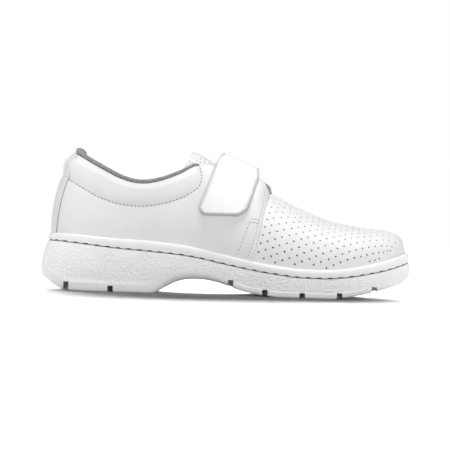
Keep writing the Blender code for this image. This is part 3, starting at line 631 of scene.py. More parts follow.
def ramp(tree, factor, stops):
    node = tree.nodes.new("ShaderNodeValToRGB")
    tree.links.new(factor, node.inputs[0])
    while len(node.color_ramp.elements) < len(stops):
        node.color_ramp.elements.new(0.5)
    for element, (place, value) in zip(node.color_ramp.elements, stops):
        element.position = place
        colour = value if isinstance(value, tuple) else (value, value, value)
        element.color = (*colour, 1.0)
    return node.outputs["Color"]


def coordinates(tree):
    return tree.nodes.new("ShaderNodeTexCoord").outputs["Object"]


def leather(name, colour, roughness, grain=0.12, coat=0.06, pore=900.0):
    """White leather: soft tone changes, fine pebbled grain and pores."""
    made, tree, shader = shader_of(name)
    place = coordinates(tree)
    cloud = noise_of(tree, Vector=place, Scale=38.0, Detail=3.0)
    dull = tuple(0.955 * part for part in colour)
    tone = ramp(tree, cloud, [(0.30, dull), (0.70, colour)])
    pebbles = pebbles_of(tree, Vector=place, Scale=pore, Smoothness=0.4)
    fine = noise_of(tree, Vector=place, Scale=2600.0, Detail=2.0)
    wide = noise_of(tree, Vector=place, Scale=190.0, Detail=2.0)
    both = add_node(tree, "ShaderNodeMath", {"operation": "MULTIPLY_ADD"})
    tree.links.new(fine, both.inputs[0])
    both.inputs[1].default_value = 0.5
    tree.links.new(pebbles, both.inputs[2])
    bump = bump_of(tree, Strength=grain, Distance=0.0004, Height=both.outputs[0])
    bump = bump_of(tree, Strength=0.10, Distance=0.0012, Height=wide, Normal=bump)
    gloss = ramp(tree, cloud, [(0.25, roughness - 0.05), (0.75, roughness + 0.06)])
    feed(tree, shader, Base_Color=tone, Normal=bump, Roughness=gloss)
    feed(tree, shader, Coat_Weight=coat, Coat_Roughness=0.30, Specular_IOR_Level=0.40)
    return made


def rubber(name, colour, roughness, pebble):
    """Moulded rubber, pebbled by bump where pebble is over zero."""
    made, tree, shader = shader_of(name)
    place = coordinates(tree)
    cloud = noise_of(tree, Vector=place, Scale=60.0, Detail=4.0)
    dull = tuple(0.95 * part for part in colour)
    tone = ramp(tree, cloud, [(0.3, dull), (0.7, colour)])
    grit = noise_of(tree, Vector=place, Scale=1500.0, Detail=3.0)
    bump = bump_of(tree, Strength=0.15, Distance=0.0003, Height=grit)
    if pebble > 0:
        cells = pebbles_of(tree, Vector=place, Scale=520.0, Smoothness=0.5)
        bump = bump_of(tree, Strength=pebble, Distance=0.0014, Height=cells, Normal=bump)
    gloss = ramp(tree, cloud, [(0.25, roughness - 0.05), (0.75, roughness + 0.08)])
    feed(tree, shader, Base_Color=tone, Normal=bump, Roughness=gloss, Specular_IOR_Level=0.35)
    return made


def textile(name, dark, light, scale):
    """Knitted lining cloth with a fine mesh of loops and some fuzz; the flat dark marks of painted shade use
    it too.
    """
    made, tree, shader = shader_of(name)
    place = coordinates(tree)
    loops = add_node(tree, "ShaderNodeTexVoronoi", Vector=place, Scale=scale).outputs["Distance"]
    fuzz = noise_of(tree, Vector=place, Scale=scale * 0.4, Detail=4.0)
    mixed = add_node(tree, "ShaderNodeMath", {"operation": "ADD"})
    tree.links.new(loops, mixed.inputs[0])
    tree.links.new(fuzz, mixed.inputs[1])
    tone = ramp(tree, mixed.outputs[0], [(0.55, light), (1.0, dark)])
    bump = bump_of(tree, Strength=0.6, Distance=0.0004, Height=loops)
    feed(tree, shader, Base_Color=tone, Normal=bump)
    feed(tree, shader, Roughness=0.95, Sheen_Weight=0.3, Sheen_Roughness=0.5)
    return made


WHITE_LEATHER = leather("white_leather", (0.80, 0.80, 0.805), 0.46)
# The strap's leather is smoother and glossier, and made lighter than the rest as painted light on its
# up-facing top
LIT_STRAP_LEATHER = leather("strap_leather", (0.92, 0.92, 0.925), 0.40, grain=0.06, coat=0.10)
VAMP_LEATHER = leather("vamp_leather", (0.80, 0.80, 0.805), 0.50, grain=0.10, coat=0.04)
# Grey for the strap's cut edge, darker as painted shade of its rolled rim where the edge turns down
CUT_EDGE_AND_SHADE = leather("cut_edge_and_shade", (0.62, 0.62, 0.62), 0.70, grain=0.2, coat=0.0)
SOLE_RUBBER = rubber("sole_rubber", (0.93, 0.93, 0.935), 0.58, 0.35)
SMOOTH_RUBBER = rubber("smooth_rubber", (0.92, 0.92, 0.925), 0.45, 0.0)
BEAD_RUBBER = rubber("bead_rubber", (0.91, 0.91, 0.915), 0.42, 0.0)
GREY_TEXTILE = textile("grey_textile", (0.20, 0.20, 0.205), (0.52, 0.52, 0.53), 1400.0)
LINING_TEXTILE = textile("lining_textile", (0.22, 0.22, 0.225), (0.42, 0.42, 0.43), 1100.0)
# Lining cloth under the holes, made near black: its darkness is painted shade for the holes that show it, and
# it is also painted on the tongue's hole walls
HOLE_SHADE_LINING = textile("hole_shade_lining", (0.020, 0.020, 0.021), (0.055, 0.055, 0.057), 1100.0)
# Grey lining cloth for the far facing's lip; its grey also paints the shade that falls on that facing
LIP_TEXTILE_AND_SHADE = textile("lip_textile_and_shade", (0.36, 0.36, 0.362), (0.62, 0.62, 0.625), 1400.0)
THREAD = leather("thread", (0.74, 0.74, 0.745), 0.60, grain=0.3, coat=0.0, pore=3000.0)
# Near-black painted shade for the needle holes between stitches
NEEDLE_HOLE_SHADE = textile("needle_hole_shade", (0.05, 0.05, 0.05), (0.09, 0.09, 0.09), 2000.0)
# Near-black painted shade for the inside of the bead's groove and dash slots
GAP_SHADE = textile("gap_painted_shade", (0.012, 0.012, 0.012), (0.020, 0.020, 0.020), 2000.0)
# A little darker than the other leather: painted shade of the back strip, which faces away from the front
# light
SHADED_STRIP_LEATHER = leather("shaded_strip_leather", (0.76, 0.76, 0.765), 0.50)
# Dark grey on the back strip's edges and back: painted shade along the step of its edge
STRIP_EDGE_SHADE = leather("strip_edge_shade", (0.26, 0.26, 0.26), 0.70, grain=0.2, coat=0.0)


# Sole
def sole_stations(step):
    """Places round the outline, symmetrical about the heel and the toe."""
    fine = np.linspace(0, TOE, 1500)
    points = outline_point(fine)
    run = run_along(points)
    half = np.interp(np.linspace(0, run[-1], math.ceil(run[-1] / step)), run, fine)
    return np.concatenate([half, LOOP - half[-2:0:-1]]), len(half)


SIDE_LEVELS = 26
SIDE_PART = 0.80
EDGE_CHAMFER = 0.0004
PEBBLE_SCALE = 420.0
PEBBLE_HEIGHT = 0.00013
SLOT_ROUND = 0.0007


def pebble(point, scale):
    spot = Vector((point[0] * 0.7, point[1] * 0.7, point[2] * 1.5)) * scale
    return noise.noise(spot) + 0.5 * noise.noise(spot * 2.3)


def build_sole():
    places, half = sole_stations(GRID)
    base, outward = outline_point(places), outline_outward(places)
    x = (base + WELT_WIDTH * outward)[:, 0]
    share = sole_share(x)
    flare = HEEL_FLARE * profile(SIDE, "flare", share)
    lug = LUG_PROUD * profile(SIDE, "lug", share)
    edge_in = EDGE_ROUND * profile(SIDE, "edge_in", share)
    edge_up = EDGE_ROUND * profile(SIDE, "edge_up", share)
    edge = base + (WELT_WIDTH + flare)[:, None] * outward
    low = underside_height(edge[:, 0]) + edge_up
    top = platform_height(base[:, 0])
    texture_along = smooth_step((share - 0.04) / 0.05) * (1 - smooth_step((share - 0.90) / 0.06))
    rings, masks = [], []

    def ring(offset, height, mask):
        rings.append(raised(base + offset[:, None] * outward, height))
        masks.append(mask * texture_along)

    flat = np.full(len(places), WELT_WIDTH)
    ring(flat - EDGE_CHAMFER, top, 0.0)
    ring(flat, top - EDGE_CHAMFER, 0.0)
    for level in range(1, SIDE_LEVELS):
        drop = level / SIDE_LEVELS * SIDE_PART
        spread = 1 - (1 - drop) ** FLARE_POWER
        mask = min(1.0, level / 3, (SIDE_LEVELS - level) / 3)
        ring(WELT_WIDTH + spread * flare, top + (low - top) * drop, mask)
    ring(WELT_WIDTH + flare, low + 0.195 * (top - low), 0.0)
    ring(WELT_WIDTH + flare + lug, low + 0.165 * (top - low), 0.0)
    for level in (0.12, 0.06, 0.0):
        ring(WELT_WIDTH + flare + lug, low + level * (top - low), 0.0)
    for turn in (0.2, 0.4, 0.6, 0.8, 1.0):
        angle = turn * math.pi / 2
        offset = WELT_WIDTH + flare + lug - edge_in * (1 - math.cos(angle))
        plan = base + offset[:, None] * outward
        floor = underside_height(plan[:, 0])
        rings.append(raised(plan, floor + edge_up * (1 - math.sin(angle))))
        masks.append(np.zeros(len(places)))
    rings, masks = np.array(rings), np.array(masks)
    push = np.array([[pebble(point, PEBBLE_SCALE) for point in line] for line in rings])
    rings[:, :, :2] += (PEBBLE_HEIGHT * masks * push)[..., None] * outward

    def sheet(loop, height):
        """Rows of points from the outer to the inner side, with their heights."""
        mirrored = loop[(-np.arange(half)) % len(loop)]
        across = np.linspace(0, 1, 25)[None, :, None]
        grid = loop[:half, None, :2] * (1 - across) + mirrored[:, None, :2] * across
        return raised(grid, height(grid[..., 0]))

    under = sheet(rings[-1], underside_height)
    over = sheet(rings[0], platform_height)
    index = numbered(rings)
    index = np.hstack([index, index[:, :1]])
    lists = [(rings.reshape(-1, 3), quads(index).tolist(), 0)]
    for grid in (under, over):
        lists.append((grid.reshape(-1, 3), quads(numbered(grid)).tolist(), 1))
    points, faces, slots = joined(lists)
    smooth_from = (SIDE_LEVELS + 2) * rings.shape[1]
    smooth_to = rings.shape[0] * rings.shape[1]
    slots = [
        1 if s == 0 and min(f) >= smooth_from and max(f) < smooth_to else s for f, s in zip(faces, slots)
    ]
    sole = make("sole_body", points, faces, [SOLE_RUBBER, SMOOTH_RUBBER], slots, slot="sole_rubber", sharp=38)
    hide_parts("sole")
    cut_away(sole, slot_blocks(), SMOOTH_RUBBER, "EXACT")


def row_of_x(x, side):
    places = np.linspace(0, TOE, 3000)
    own = places if side < 0 else LOOP - places
    found = np.interp(x, outline_point(own)[:, 0], places)
    return found if side < 0 else LOOP - found


def slot_blocks():
    data = bmesh.new()
    for entry in SLOTS:
        x = (entry.along - 0.5) * SHOE_LENGTH
        top = float(underside_height(x)) + entry.depth * SLOT_DEPTH
        low = -SLOT_DEPTH
        for side in (-1, 1):
            edge = outline_point(row_of_x(x, side))[1]
            made = bmesh.ops.create_cube(data, size=1.0)
            bmesh.ops.scale(data, verts=made["verts"], vec=(SLOT_WIDTH, 2 * SLOT_REACH, top - low))
            bmesh.ops.translate(data, verts=made["verts"], vec=(x, edge, (top + low) / 2))
    crosswise = [e for e in data.edges if abs((e.verts[0].co - e.verts[1].co).y) > SLOT_REACH / 2]
    bmesh.ops.bevel(data, geom=crosswise, offset=SLOT_ROUND, segments=3, affect="EDGES", profile=0.5)
    mesh = bpy.data.meshes.new("slot_blocks")
    data.to_mesh(mesh)
    data.free()
    return mesh


# Corners of the bead's section: shares of its width and of its height
BEAD_PROFILE = [
    (0.0, 0.0), (0.0, 0.90), (0.12, 0.985), (0.30, 1.0), (0.50, 0.97), (0.68, 0.90), (0.83, 0.79),
    (0.93, 0.66), (0.985, 0.52), (1.0, 0.38), (1.0, 0.26), (0.995, 0.16), (0.985, 0.09), (0.965, 0.04),
    (0.94, 0.0), (0.40, 0.0), (0.40, -1.0),
]
BEAD_STEP = 0.0007
DASH_PITCH = 0.0082
DASH_LENGTH = 0.0036
DASH_SHIFT = 0.0035
DASH_FADE = 0.0005
DASH_HEIGHT = 0.0008
GAP_HEIGHT = 0.00022


def build_bead():
    places, _ = sole_stations(BEAD_STEP)
    base, outward = outline_point(places), outline_outward(places)
    phase = np.mod(run_along(base) + DASH_SHIFT, DASH_PITCH)
    dash = smooth_step((phase - 0.0002) / DASH_FADE) * (1 - smooth_step((phase - DASH_LENGTH) / DASH_FADE))
    gap = GAP_HEIGHT + (DASH_HEIGHT - GAP_HEIGHT) * dash
    row = np.minimum(places, LOOP - places)
    room = CLEARANCE + layer(row) * (row <= FRONT) + STRIP_STEP * (row <= STRIP_ROW)
    low = platform_height(base[:, 0]) + CLEARANCE
    height = bead_top(base[:, 0]) - low
    rings = []
    for across, up in BEAD_PROFILE:
        offset = room + across * (WELT_WIDTH - room)
        z = low + np.maximum(up * height, gap if across > 0.35 and up >= 0 else 0.0)
        rings.append(raised(base + offset[:, None] * outward, z))
    rings = np.array(rings).transpose(1, 0, 2)
    index = numbered(rings)
    index = np.vstack([index, index[:1]])
    index = np.hstack([index, index[:, :1]])
    corners = len(BEAD_PROFILE)
    # The groove's ceiling and inner wall, the last faces of the section, take the painted shade
    slots = np.tile((np.arange(corners) >= corners - 3).astype(int), len(places))
    bead = make(
        "welt_bead", rings.reshape(-1, 3), quads(index), [BEAD_RUBBER, GAP_SHADE], slots, slot="welt_rubber",
        sharp=50,
    )
    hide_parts("welt")


# Upper
FOOT_DROP = 0.0030


def drop_below(points):
    """The wall's first line again, lower down inside the bead."""
    low = points[:, :1].copy()
    low[..., 2] -= FOOT_DROP
    return np.concatenate([low, points], axis=1)


def sheet_at(points, normals, out):
    """The wall's points moved out along the normals, with the line inside the bead."""
    return drop_below(points + np.asarray(out)[..., None] * normals)


def wall_rows(kind, height):
    """Places and shares of a wall's grid, with near-square cells halfway up."""
    return even_places(kind, HALFWAY_UP, GRID), np.linspace(0, 1, math.ceil(height / GRID))


# The collar panel's seam as places of the loop and shares of the wall's height
Seam = namedtuple("Seam", "row share")
COLLAR_SEAM = [Seam(*row) for row in (
    (0.00, 0.690), (1.74, 0.675), (3.08, 0.635), (4.20, 0.575),
    (4.88, 0.568), (5.76, 0.580), (6.68, 0.605), (7.66, 0.640),
    (8.64, 0.675), (8.98, 0.702), (9.20, 0.750), (9.30, 0.810),
    (9.26, 0.930), (9.20, 0.995),
)]


PUFF_HEIGHT = 0.0022
PUFF_WIDTH = 0.005
FURROW_DEPTH = 0.0007
FURROW_WIDTH = 0.0013


def seam_line(entries, side, count=160):
    """Points and normals along a seam on the quarters."""
    table = np.array([[entry.row, entry.share] for entry in entries])
    spans = np.maximum(np.hypot(np.diff(table[:, 0]) * 0.012, np.diff(table[:, 1]) * 0.06), 1e-4)
    places = spline(table, spans, np.linspace(0, len(table) - 1, count))
    loop = places[:, 0] * (1 if side < 0 else -1)
    return quarter_at(loop, places[:, 1]), wall_normal(QUARTER_WALL, loop, places[:, 1])


def line_distance(points, line):
    """Distance from each point to the nearest of a line's points."""
    flat = points.reshape(-1, 3)
    nearest = np.full(len(flat), np.inf)
    for start in range(0, len(line), 64):
        gaps = np.linalg.norm(flat[:, None] - line[None, start:start + 64], axis=2).min(axis=1)
        nearest = np.minimum(nearest, gaps)
    return nearest.reshape(points.shape[:-1])


def quarter_relief(places, shares, points):
    """Puff of the collar's padding and the furrow of its seam, along the normal."""
    row = np.abs(places)[:, None]
    relief = np.zeros(points.shape[:2])
    table = COLLAR_SEAM[:12]
    fading = 1 - 0.75 * smooth_step((shares[None] - 0.88) / 0.12)
    for side in (-1, 1):
        own = (places >= 0) if side < 0 else (places <= 0)
        away = line_distance(points[own], seam_line(COLLAR_SEAM, side)[0])
        edge = np.interp(row[own][:, 0], [e.row for e in table], [e.share for e in table])[:, None]
        inside = (shares[None] > edge) & (row[own] < table[-1].row)
        puff = PUFF_HEIGHT * (1 - np.exp(-(away / PUFF_WIDTH) ** 1.5)) * fading
        furrow = FURROW_DEPTH * np.exp(-((away / FURROW_WIDTH) ** 2))
        relief[own] += np.where(inside, puff, 0.0) - furrow
    return relief


def quarter_sheet(places, shares):
    """Grid on the quarters: its places and shares, its points and normals, and the relief on them."""
    grid_places, grid_shares = np.meshgrid(places, shares, indexing="ij")
    points = quarter_at(grid_places, grid_shares)
    normals = wall_normal(QUARTER_WALL, grid_places, grid_shares)
    return grid_places, grid_shares, points, normals, quarter_relief(places, shares, points)


def build_quarters():
    places, shares, points, normals, relief = quarter_sheet(*wall_rows(QUARTER_WALL, QUARTER_HEIGHT))
    depth = layer(np.abs(places)) + LEATHER
    front, back = sheet_at(points, normals, relief), sheet_at(points, normals, -depth)
    quarters = shell("quarters", front, back, [WHITE_LEATHER], slot="white_leather")
    bevelled(quarters, 0.0005)
    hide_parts("upper")
    outer, inner = sheet_at(points, normals, -(depth + 0.0001)), drop_below(quarter_inner(places, shares))
    shell("collar_lining", outer, inner, [LINING_TEXTILE], slot="grey_textile")


LIP_REACH = 0.0044
LIP_ROWS = (12.3, FRONT - 0.04)


def build_facing_lip():
    """The lining's edge at the top of the far facing, showing past the near one in front of the strap; its
    grey also paints the shade on the far facing there.
    """
    rows = np.linspace(*LIP_ROWS, 40)
    reach = 0.0004 + LIP_REACH * smooth_step((rows - 12.75) / 0.75)
    top = quarter_at(-rows, np.ones(len(rows)))
    normals = wall_normal(QUARTER_WALL, -rows, np.ones(len(rows)))
    way = unit(np.array([1.0, 0.0, 0.12]))
    front = np.stack([
        top + (reach * step - 0.0010)[:, None] * way - 0.0008 * normals for step in (0, 0.4, 0.8, 1)
    ], axis=1)
    back = front + np.array([0.0, 0.0009, 0.0])
    shell("facing_lip", front, back, [LIP_TEXTILE_AND_SHADE], slot="grey_textile")


def build_back_strip():
    sheet = quarter_sheet(np.linspace(-STRIP_ROW, STRIP_ROW, 60), np.linspace(0, 1, 70))
    points, normals, relief = sheet[2], sheet[3], sheet[4] * 0.6
    front, back = sheet_at(points, normals, relief + STRIP_STEP), sheet_at(points, normals, relief - 0.0003)
    # The strip's edges and back take the dark painted shade of its step
    piece = shell("back_strip", front, back, [SHADED_STRIP_LEATHER, STRIP_EDGE_SHADE], rim=True, slot="white_leather")
    bevelled(piece, 0.0004)


HOLE_RADIUS = 0.00074
HOLE_DEPTH = 0.0030
HOLE_AROUND = 0.00695
HOLE_FIRST = 0.0021
HOLE_ALONG = 0.00471
HOLES_AROUND = 14
SIDE_REACH = 0.040
WALK_STEP = 0.0005
STATION = 0.0010
CLEAR_OF_BEAD = 0.0018
CLEAR_OF_EDGE = 0.0016
CLEAR_OF_HOLES = 0.0034

# Columns of holes: where they cross the vamp's side, along the centre line, and their shift round it
Column = namedtuple("Column", "along shift")
COLUMNS = [Column(*row) for row in (
    (0.0005, -0.0048), (0.0046, -0.0041), (0.0104, -0.0034), (0.0165, -0.0029),
    (0.0219, -0.0025), (0.0261, -0.0021), (0.0305, -0.0019), (0.0350, -0.0019),
    (0.0399, -0.0018), (0.0444, -0.0018), (0.0491, -0.0019), (0.0539, -0.0020),
    (0.0580, -0.0021), (0.0621, -0.0021), (0.0667, -0.0020), (0.0714, -0.0015),
    (0.0762, -0.0008), (0.0811, -0.0004), (0.0862, -0.0001), (0.0916, 0.0000),
    (0.0974, 0.0002), (0.1073, 0.0002), (0.1148, 0.0000),
)]


def ridge_line():
    """The vamp's centre line, from the throat over the ridge and down the toe."""
    ridge = wall(VAMP_WALL_SECTIONS, np.linspace(FRONT, TOE, 160), np.ones(160))
    nose = wall(VAMP_WALL_SECTIONS, np.full(80, float(TOE)), np.linspace(1, 0, 80))
    return np.concatenate([ridge, nose[1:]])


def walk(tree, columns, centre, forward, side):
    """Points of a straight line on the vamp, from its centre line squarely down one side."""
    spot, up, _, _ = tree.find_nearest(Vector(centre))
    if up.z < 0:
        up = -up
    way = up.cross(forward).normalized() * side
    line = [spot]
    while len(line) < 200:
        moved, facing, face, _ = tree.find_nearest(spot + way * WALK_STEP)
        if facing.dot(up) < 0:
            facing = -facing
        if face % columns == 0 or (moved - spot).length < WALK_STEP / 2:
            break
        way = (way - facing * way.dot(facing)).normalized()
        spot, up = moved, facing
        line.append(spot)
    return np.array(line)


def walk_holes(points):
    """Places and normals of the holes, in staggered columns round the vamp."""
    columns = points.shape[1]
    tree = BVHTree.FromPolygons([Vector(p) for p in points.reshape(-1, 3)], quads(numbered(points)).tolist())
    line = ridge_line()
    run = run_along(line)

    def on_ridge(along):
        return np.array([np.interp(along, run, line[:, k]) for k in range(3)])

    stations = np.arange(0.0, run[-1] - STATION, STATION)
    walked = {-1: [], 1: []}
    for along in stations:
        forward = Vector(unit(on_ridge(along + 0.002) - on_ridge(max(along - 0.002, 0.0))))
        for side in (-1, 1):
            walked[side].append(walk(tree, columns - 1, on_ridge(along), forward, side))
    found = []
    for number, column in enumerate(COLUMNS):
        for index in range(-HOLES_AROUND, HOLES_AROUND + 1):
            around = (index + 0.5 * (number % 2)) * HOLE_AROUND + column.shift
            side = -1 if around >= 0 else 1
            reach = smooth_step(abs(around) / SIDE_REACH)
            along = (HOLE_FIRST + number * HOLE_ALONG) * (1 - reach) + column.along * reach
            if along > stations[-1]:
                continue
            first = min(int(along / STATION), len(stations) - 2)
            share, step = along / STATION - first, abs(around) / WALK_STEP
            pair = walked[side][first:first + 2]
            if step > min(len(part) for part in pair) - 2:
                continue
            low, rest = int(step), step - int(step)
            ends = [part[low] * (1 - rest) + part[low + 1] * rest for part in pair]
            spot, up, _, _ = tree.find_nearest(Vector(ends[0] * (1 - share) + ends[1] * share))
            found.append((np.array(spot), np.array(up)))
    return found


def rods(holes, radius, depth, sides=10):
    """Cutting rods, one for each hole, that don't touch each other."""
    lists = []
    for spot, up in holes:
        across = unit(np.cross(up, (0.0, 0.0, 1.0) if abs(up[2]) < 0.9 else (1.0, 0.0, 0.0)))
        other = np.cross(up, across)
        turns = [2 * math.pi * i / sides for i in range(sides)]
        circle = [radius * (math.cos(t) * across + math.sin(t) * other) for t in turns]
        points = [spot + c + depth * up for c in circle] + [spot + c - depth * up for c in circle]
        faces = [list(range(sides)), list(range(2 * sides - 1, sides - 1, -1))]
        faces += [[i, sides + i, sides + (i + 1) % sides, (i + 1) % sides] for i in range(sides)]
        lists.append((points, faces, 0))
    return joined(lists)


def perforate(piece, holes, radius, depth, material):
    points, faces, _ = rods(holes, radius, depth)
    mesh = bpy.data.meshes.new("hole_rods")
    mesh.from_pydata([tuple(p) for p in points], [], faces)
    data = bmesh.new()
    data.from_mesh(mesh)
    bmesh.ops.recalc_face_normals(data, faces=data.faces)
    data.to_mesh(mesh)
    data.free()
    cut_away(piece, mesh, material, "MANIFOLD")
    piece.data.set_sharp_from_angle(angle=math.radians(40))


def kept_holes(holes):
    """Holes that keep clear of the bead, the quarters' edge and each other."""
    kept = []
    foot = foot_of(np.linspace(FRONT, LOOP - FRONT, 600))
    edge = np.concatenate([
        wall(VAMP_WALL_SECTIONS, np.full(80, place), np.linspace(0, 1, 80)) for place in (FRONT, LOOP - FRONT)
    ])
    for spot, up in holes:
        if np.linalg.norm(foot - spot, axis=1).min() < CLEAR_OF_BEAD:
            continue
        if np.linalg.norm(edge - spot, axis=1).min() < CLEAR_OF_EDGE:
            continue
        if kept and np.linalg.norm(np.array([k[0] for k in kept]) - spot, axis=1).min() < CLEAR_OF_HOLES:
            continue
        kept.append((spot, up))
    return kept


def build_vamp():
    places, shares = np.meshgrid(*wall_rows(VAMP_WALL_SECTIONS, VAMP_HEIGHT), indexing="ij")
    points = wall(VAMP_WALL_SECTIONS, places, shares)
    normals = wall_normal(VAMP_WALL_SECTIONS, places, shares)
    back = sheet_at(points, normals, -0.0014)
    vamp = shell("vamp", drop_below(points), back, [VAMP_LEATHER], ridge=True, slot="white_leather")
    perforate(vamp, kept_holes(walk_holes(points)), HOLE_RADIUS, HOLE_DEPTH, VAMP_LEATHER)
    row = np.minimum(places, LOOP - places)
    wall_depth = VAMP_WALL + QUARTER_STEP * (1 - smooth_step((row - FRONT) / VAMP_THINNING))
    # The lining seen through the vamp's holes is near black: painted shade for the holes
    front, back = sheet_at(points, normals, -0.0015), sheet_at(points, normals, -wall_depth)
    shell("vamp_lining", front, back, [HOLE_SHADE_LINING], ridge=True, slot="grey_textile")


ROLL_CORNERS = 18


def build_roll():
    places = np.linspace(-COLLAR_FRONT, COLLAR_FRONT, 220)
    row = np.abs(places)
    top = wall(QUARTER_WALL, places, 1.0)
    normals = wall_normal(QUARTER_WALL, places, 1.0)
    strip_room = STRIP_STEP * (1 - smooth_step((row - STRIP_ROW) / 0.3))
    outer = top + strip_room[:, None] * normals
    inner = quarter_inner(places, np.ones(len(places)))
    upward = unit(top - wall(QUARTER_WALL, places, 0.97))
    heel_extra = BINDING_HEEL_EXTRA * (1 - smooth_step(row / 3))
    front_loss = BINDING_FRONT_LOSS * smooth_step(row - COLLAR_FRONT + 1)
    height = BINDING_HEIGHT * (1 + heel_extra - 0.4 * front_loss)
    end = np.sqrt(np.clip((COLLAR_FRONT - row) / 0.25, 0.02, 1.0))
    rings = []
    for corner in range(ROLL_CORNERS):
        turn = 2 * math.pi * corner / ROLL_CORNERS
        across = 0.5 - 0.54 * math.cos(turn) * end
        up = (0.42 + 0.56 * math.sin(turn) * end) * height + CLEARANCE
        spot = outer + across[:, None] * (inner - outer)
        rings.append(spot + up[:, None] * upward)
    rings = np.array(rings).transpose(1, 0, 2)
    index = numbered(rings)
    index = np.hstack([index, index[:, :1]])
    faces = quads(index).tolist() + [index[0, :-1].tolist(), index[-1, :-1].tolist()]
    roll = make("collar_roll", rings.reshape(-1, 3), faces, [GREY_TEXTILE], slot="grey_textile", sharp=60)
    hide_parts("collar_binding")


# Tongue and strap
def crown_points(rows):
    keys = np.array([entry.row for entry in CROWNS])
    x = last_x(np.array([entry.along for entry in CROWNS]))
    heights = platform_height(x) + np.array([entry.rise for entry in CROWNS]) * INSTEP_RISE
    points = np.stack([x, np.full(len(x), CENTRE_SHIFT), heights], axis=1)
    return spline(points, np.diff(keys), np.interp(rows, keys, np.arange(len(keys))))


def bridge(starts, ways, crown):
    """Control points across the instep, through the crown halfway."""
    reach = LEAD_SHARE * np.linalg.norm(starts[1] - starts[0], axis=-1, keepdims=True)
    leads = [start + reach * way for start, way in zip(starts, ways)]
    shift = (8 * crown - starts[0] - starts[1] - 3 * leads[0] - 3 * leads[1]) / 6
    return np.stack([starts[0], leads[0] + shift, leads[1] + shift, starts[1]], axis=-2)


def over_instep(lines, crown, steps):
    """One grid from lines up the outer and the inner quarter and an arch through the crown between them."""
    starts = [line[:, -1] for line in lines]
    ways = [unit(line[:, -1] - line[:, -2]) for line in lines]
    shares = np.linspace(0, 1, steps)[1:-1]
    middle = np.einsum("sk,nkd->nsd", weights(shares), bridge(starts, ways, crown))
    return np.concatenate([lines[0], middle, lines[1][:, ::-1]], axis=1)


TONGUE_SKIN = 0.0016
TONGUE_HOLE = 0.00070
TONGUE_HOLE_DEPTH = 0.0011


def tongue_grid(rows, depth):
    under = np.array([0.75, 0.8125, 0.875, 0.9375, 1.0])
    lines = []
    for places in (rows[:, None], -rows[:, None]):
        lines.append(quarter_inner(places + 0 * under, under + 0 * places, 1.5 * CLEARANCE + depth))
    return over_instep(lines, crown_points(rows) - np.array([0.0, 0.0, depth]), 42)


def build_tongue():
    rows = np.linspace(CROWNS[0].row, CROWNS[-1].row, 60)
    outer, inner = tongue_grid(rows, 0.0), tongue_grid(rows, TONGUE_SKIN)
    tongue = shell("tongue_leather", outer, inner, [VAMP_LEATHER], slot="tongue_leather")
    holes = []
    for i, row in enumerate(np.arange(3, 56, 3)):
        for column in range(3 + 2 * (i % 2), min(49, outer.shape[1] - 3), 4):
            up = unit(np.cross(outer[row + 1, column] - outer[row - 1, column],
                               outer[row, column + 1] - outer[row, column - 1]))
            holes.append((outer[row, column], up if up[2] > 0 else -up))
    # The walls of the tongue's holes take the near-black lining: painted shade inside the holes
    perforate(tongue, holes, TONGUE_HOLE, TONGUE_HOLE_DEPTH, HOLE_SHADE_LINING)
    under = tongue_grid(rows, 0.0017), tongue_grid(rows, TONGUE_THICKNESS)
    shell("tongue_lining", *under, [HOLE_SHADE_LINING], slot="grey_textile")
    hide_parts("tongue")


ACROSS_STRAP = np.array([math.cos(STRAP_LEAN), 0.0, -math.sin(STRAP_LEAN)])
STRAP_ROLL = 0.0022
STRAP_RIM = 0.0016
# Distances of the fine lines from the strap's edge and its end
CLOSE_TO_EDGE = np.array([0.0, 0.00025, 0.0006, 0.0010, 0.0015, 0.0020, 0.0027])
CLOSE_TO_END = [0.0, 0.004, 0.010, 0.018, 0.027, 0.038, 0.052]


def strap_places(side, share, distance):
    """Places of the quarters where the strap's lines cross, by halving."""
    share, distance = np.broadcast_arrays(np.asarray(share, float), np.asarray(distance, float))
    goal = (STRAP_PLACE - 0.5) * SHOE_LENGTH * ACROSS_STRAP[0] + distance
    sign = 1 if side < 0 else -1

    def short(place):
        return wall(QUARTER_WALL, sign * place, share) @ ACROSS_STRAP < goal

    return sign * halving(np.full(share.shape, 7.0), np.full(share.shape, float(FRONT)), short, 26)


def strap_points(side, share, distance, depth):
    place = strap_places(side, share, distance)
    share = np.broadcast_to(share, place.shape)
    lying = smooth_step((share - LIFT_FULL) / (LIFT_END - LIFT_FULL))
    lift = CLEARANCE + STRAP_LIFT * (1 - lying) + depth
    return quarter_at(place, share) + lift[..., None] * wall_normal(QUARTER_WALL, place, share)


def corner_setback(distance):
    """How far the strap's rounded end lies back at distances from its middle line."""
    past = np.maximum(np.abs(distance) - (STRAP_WIDTH / 2 - STRAP_CORNER), 0.0)
    return STRAP_CORNER - np.sqrt(STRAP_CORNER**2 - past**2)


def strap_end(side, distance):
    count = len(distance)
    goal = np.full(count, STRAP_INNER_HEIGHT) if side > 0 else STRAP_END_HEIGHT + corner_setback(distance)

    def short(share):
        return strap_points(side, share, distance, 0.0)[:, 2] < goal

    return halving(np.zeros(count), np.full(count, 0.95), short, 22)


def strap_grid(distance, depth):
    lines = []
    for side in (-1, 1):
        end = strap_end(side, distance)[:, None]
        shares = end + (1 - end) * np.concatenate([CLOSE_TO_END, np.linspace(0.07, 1, 44)])
        lines.append(strap_points(side, shares, distance[:, None], depth))
    back = 0.5 - distance / STRAP_WIDTH
    rise = np.stack([STRAP_CROWN_LEAN * back, 0 * back, STRAP_ARCH - STRAP_CROWN_DROP * (1 - back)], axis=1)
    return over_instep(lines, (lines[0][:, -1] + lines[1][:, -1]) / 2 + rise, 41)


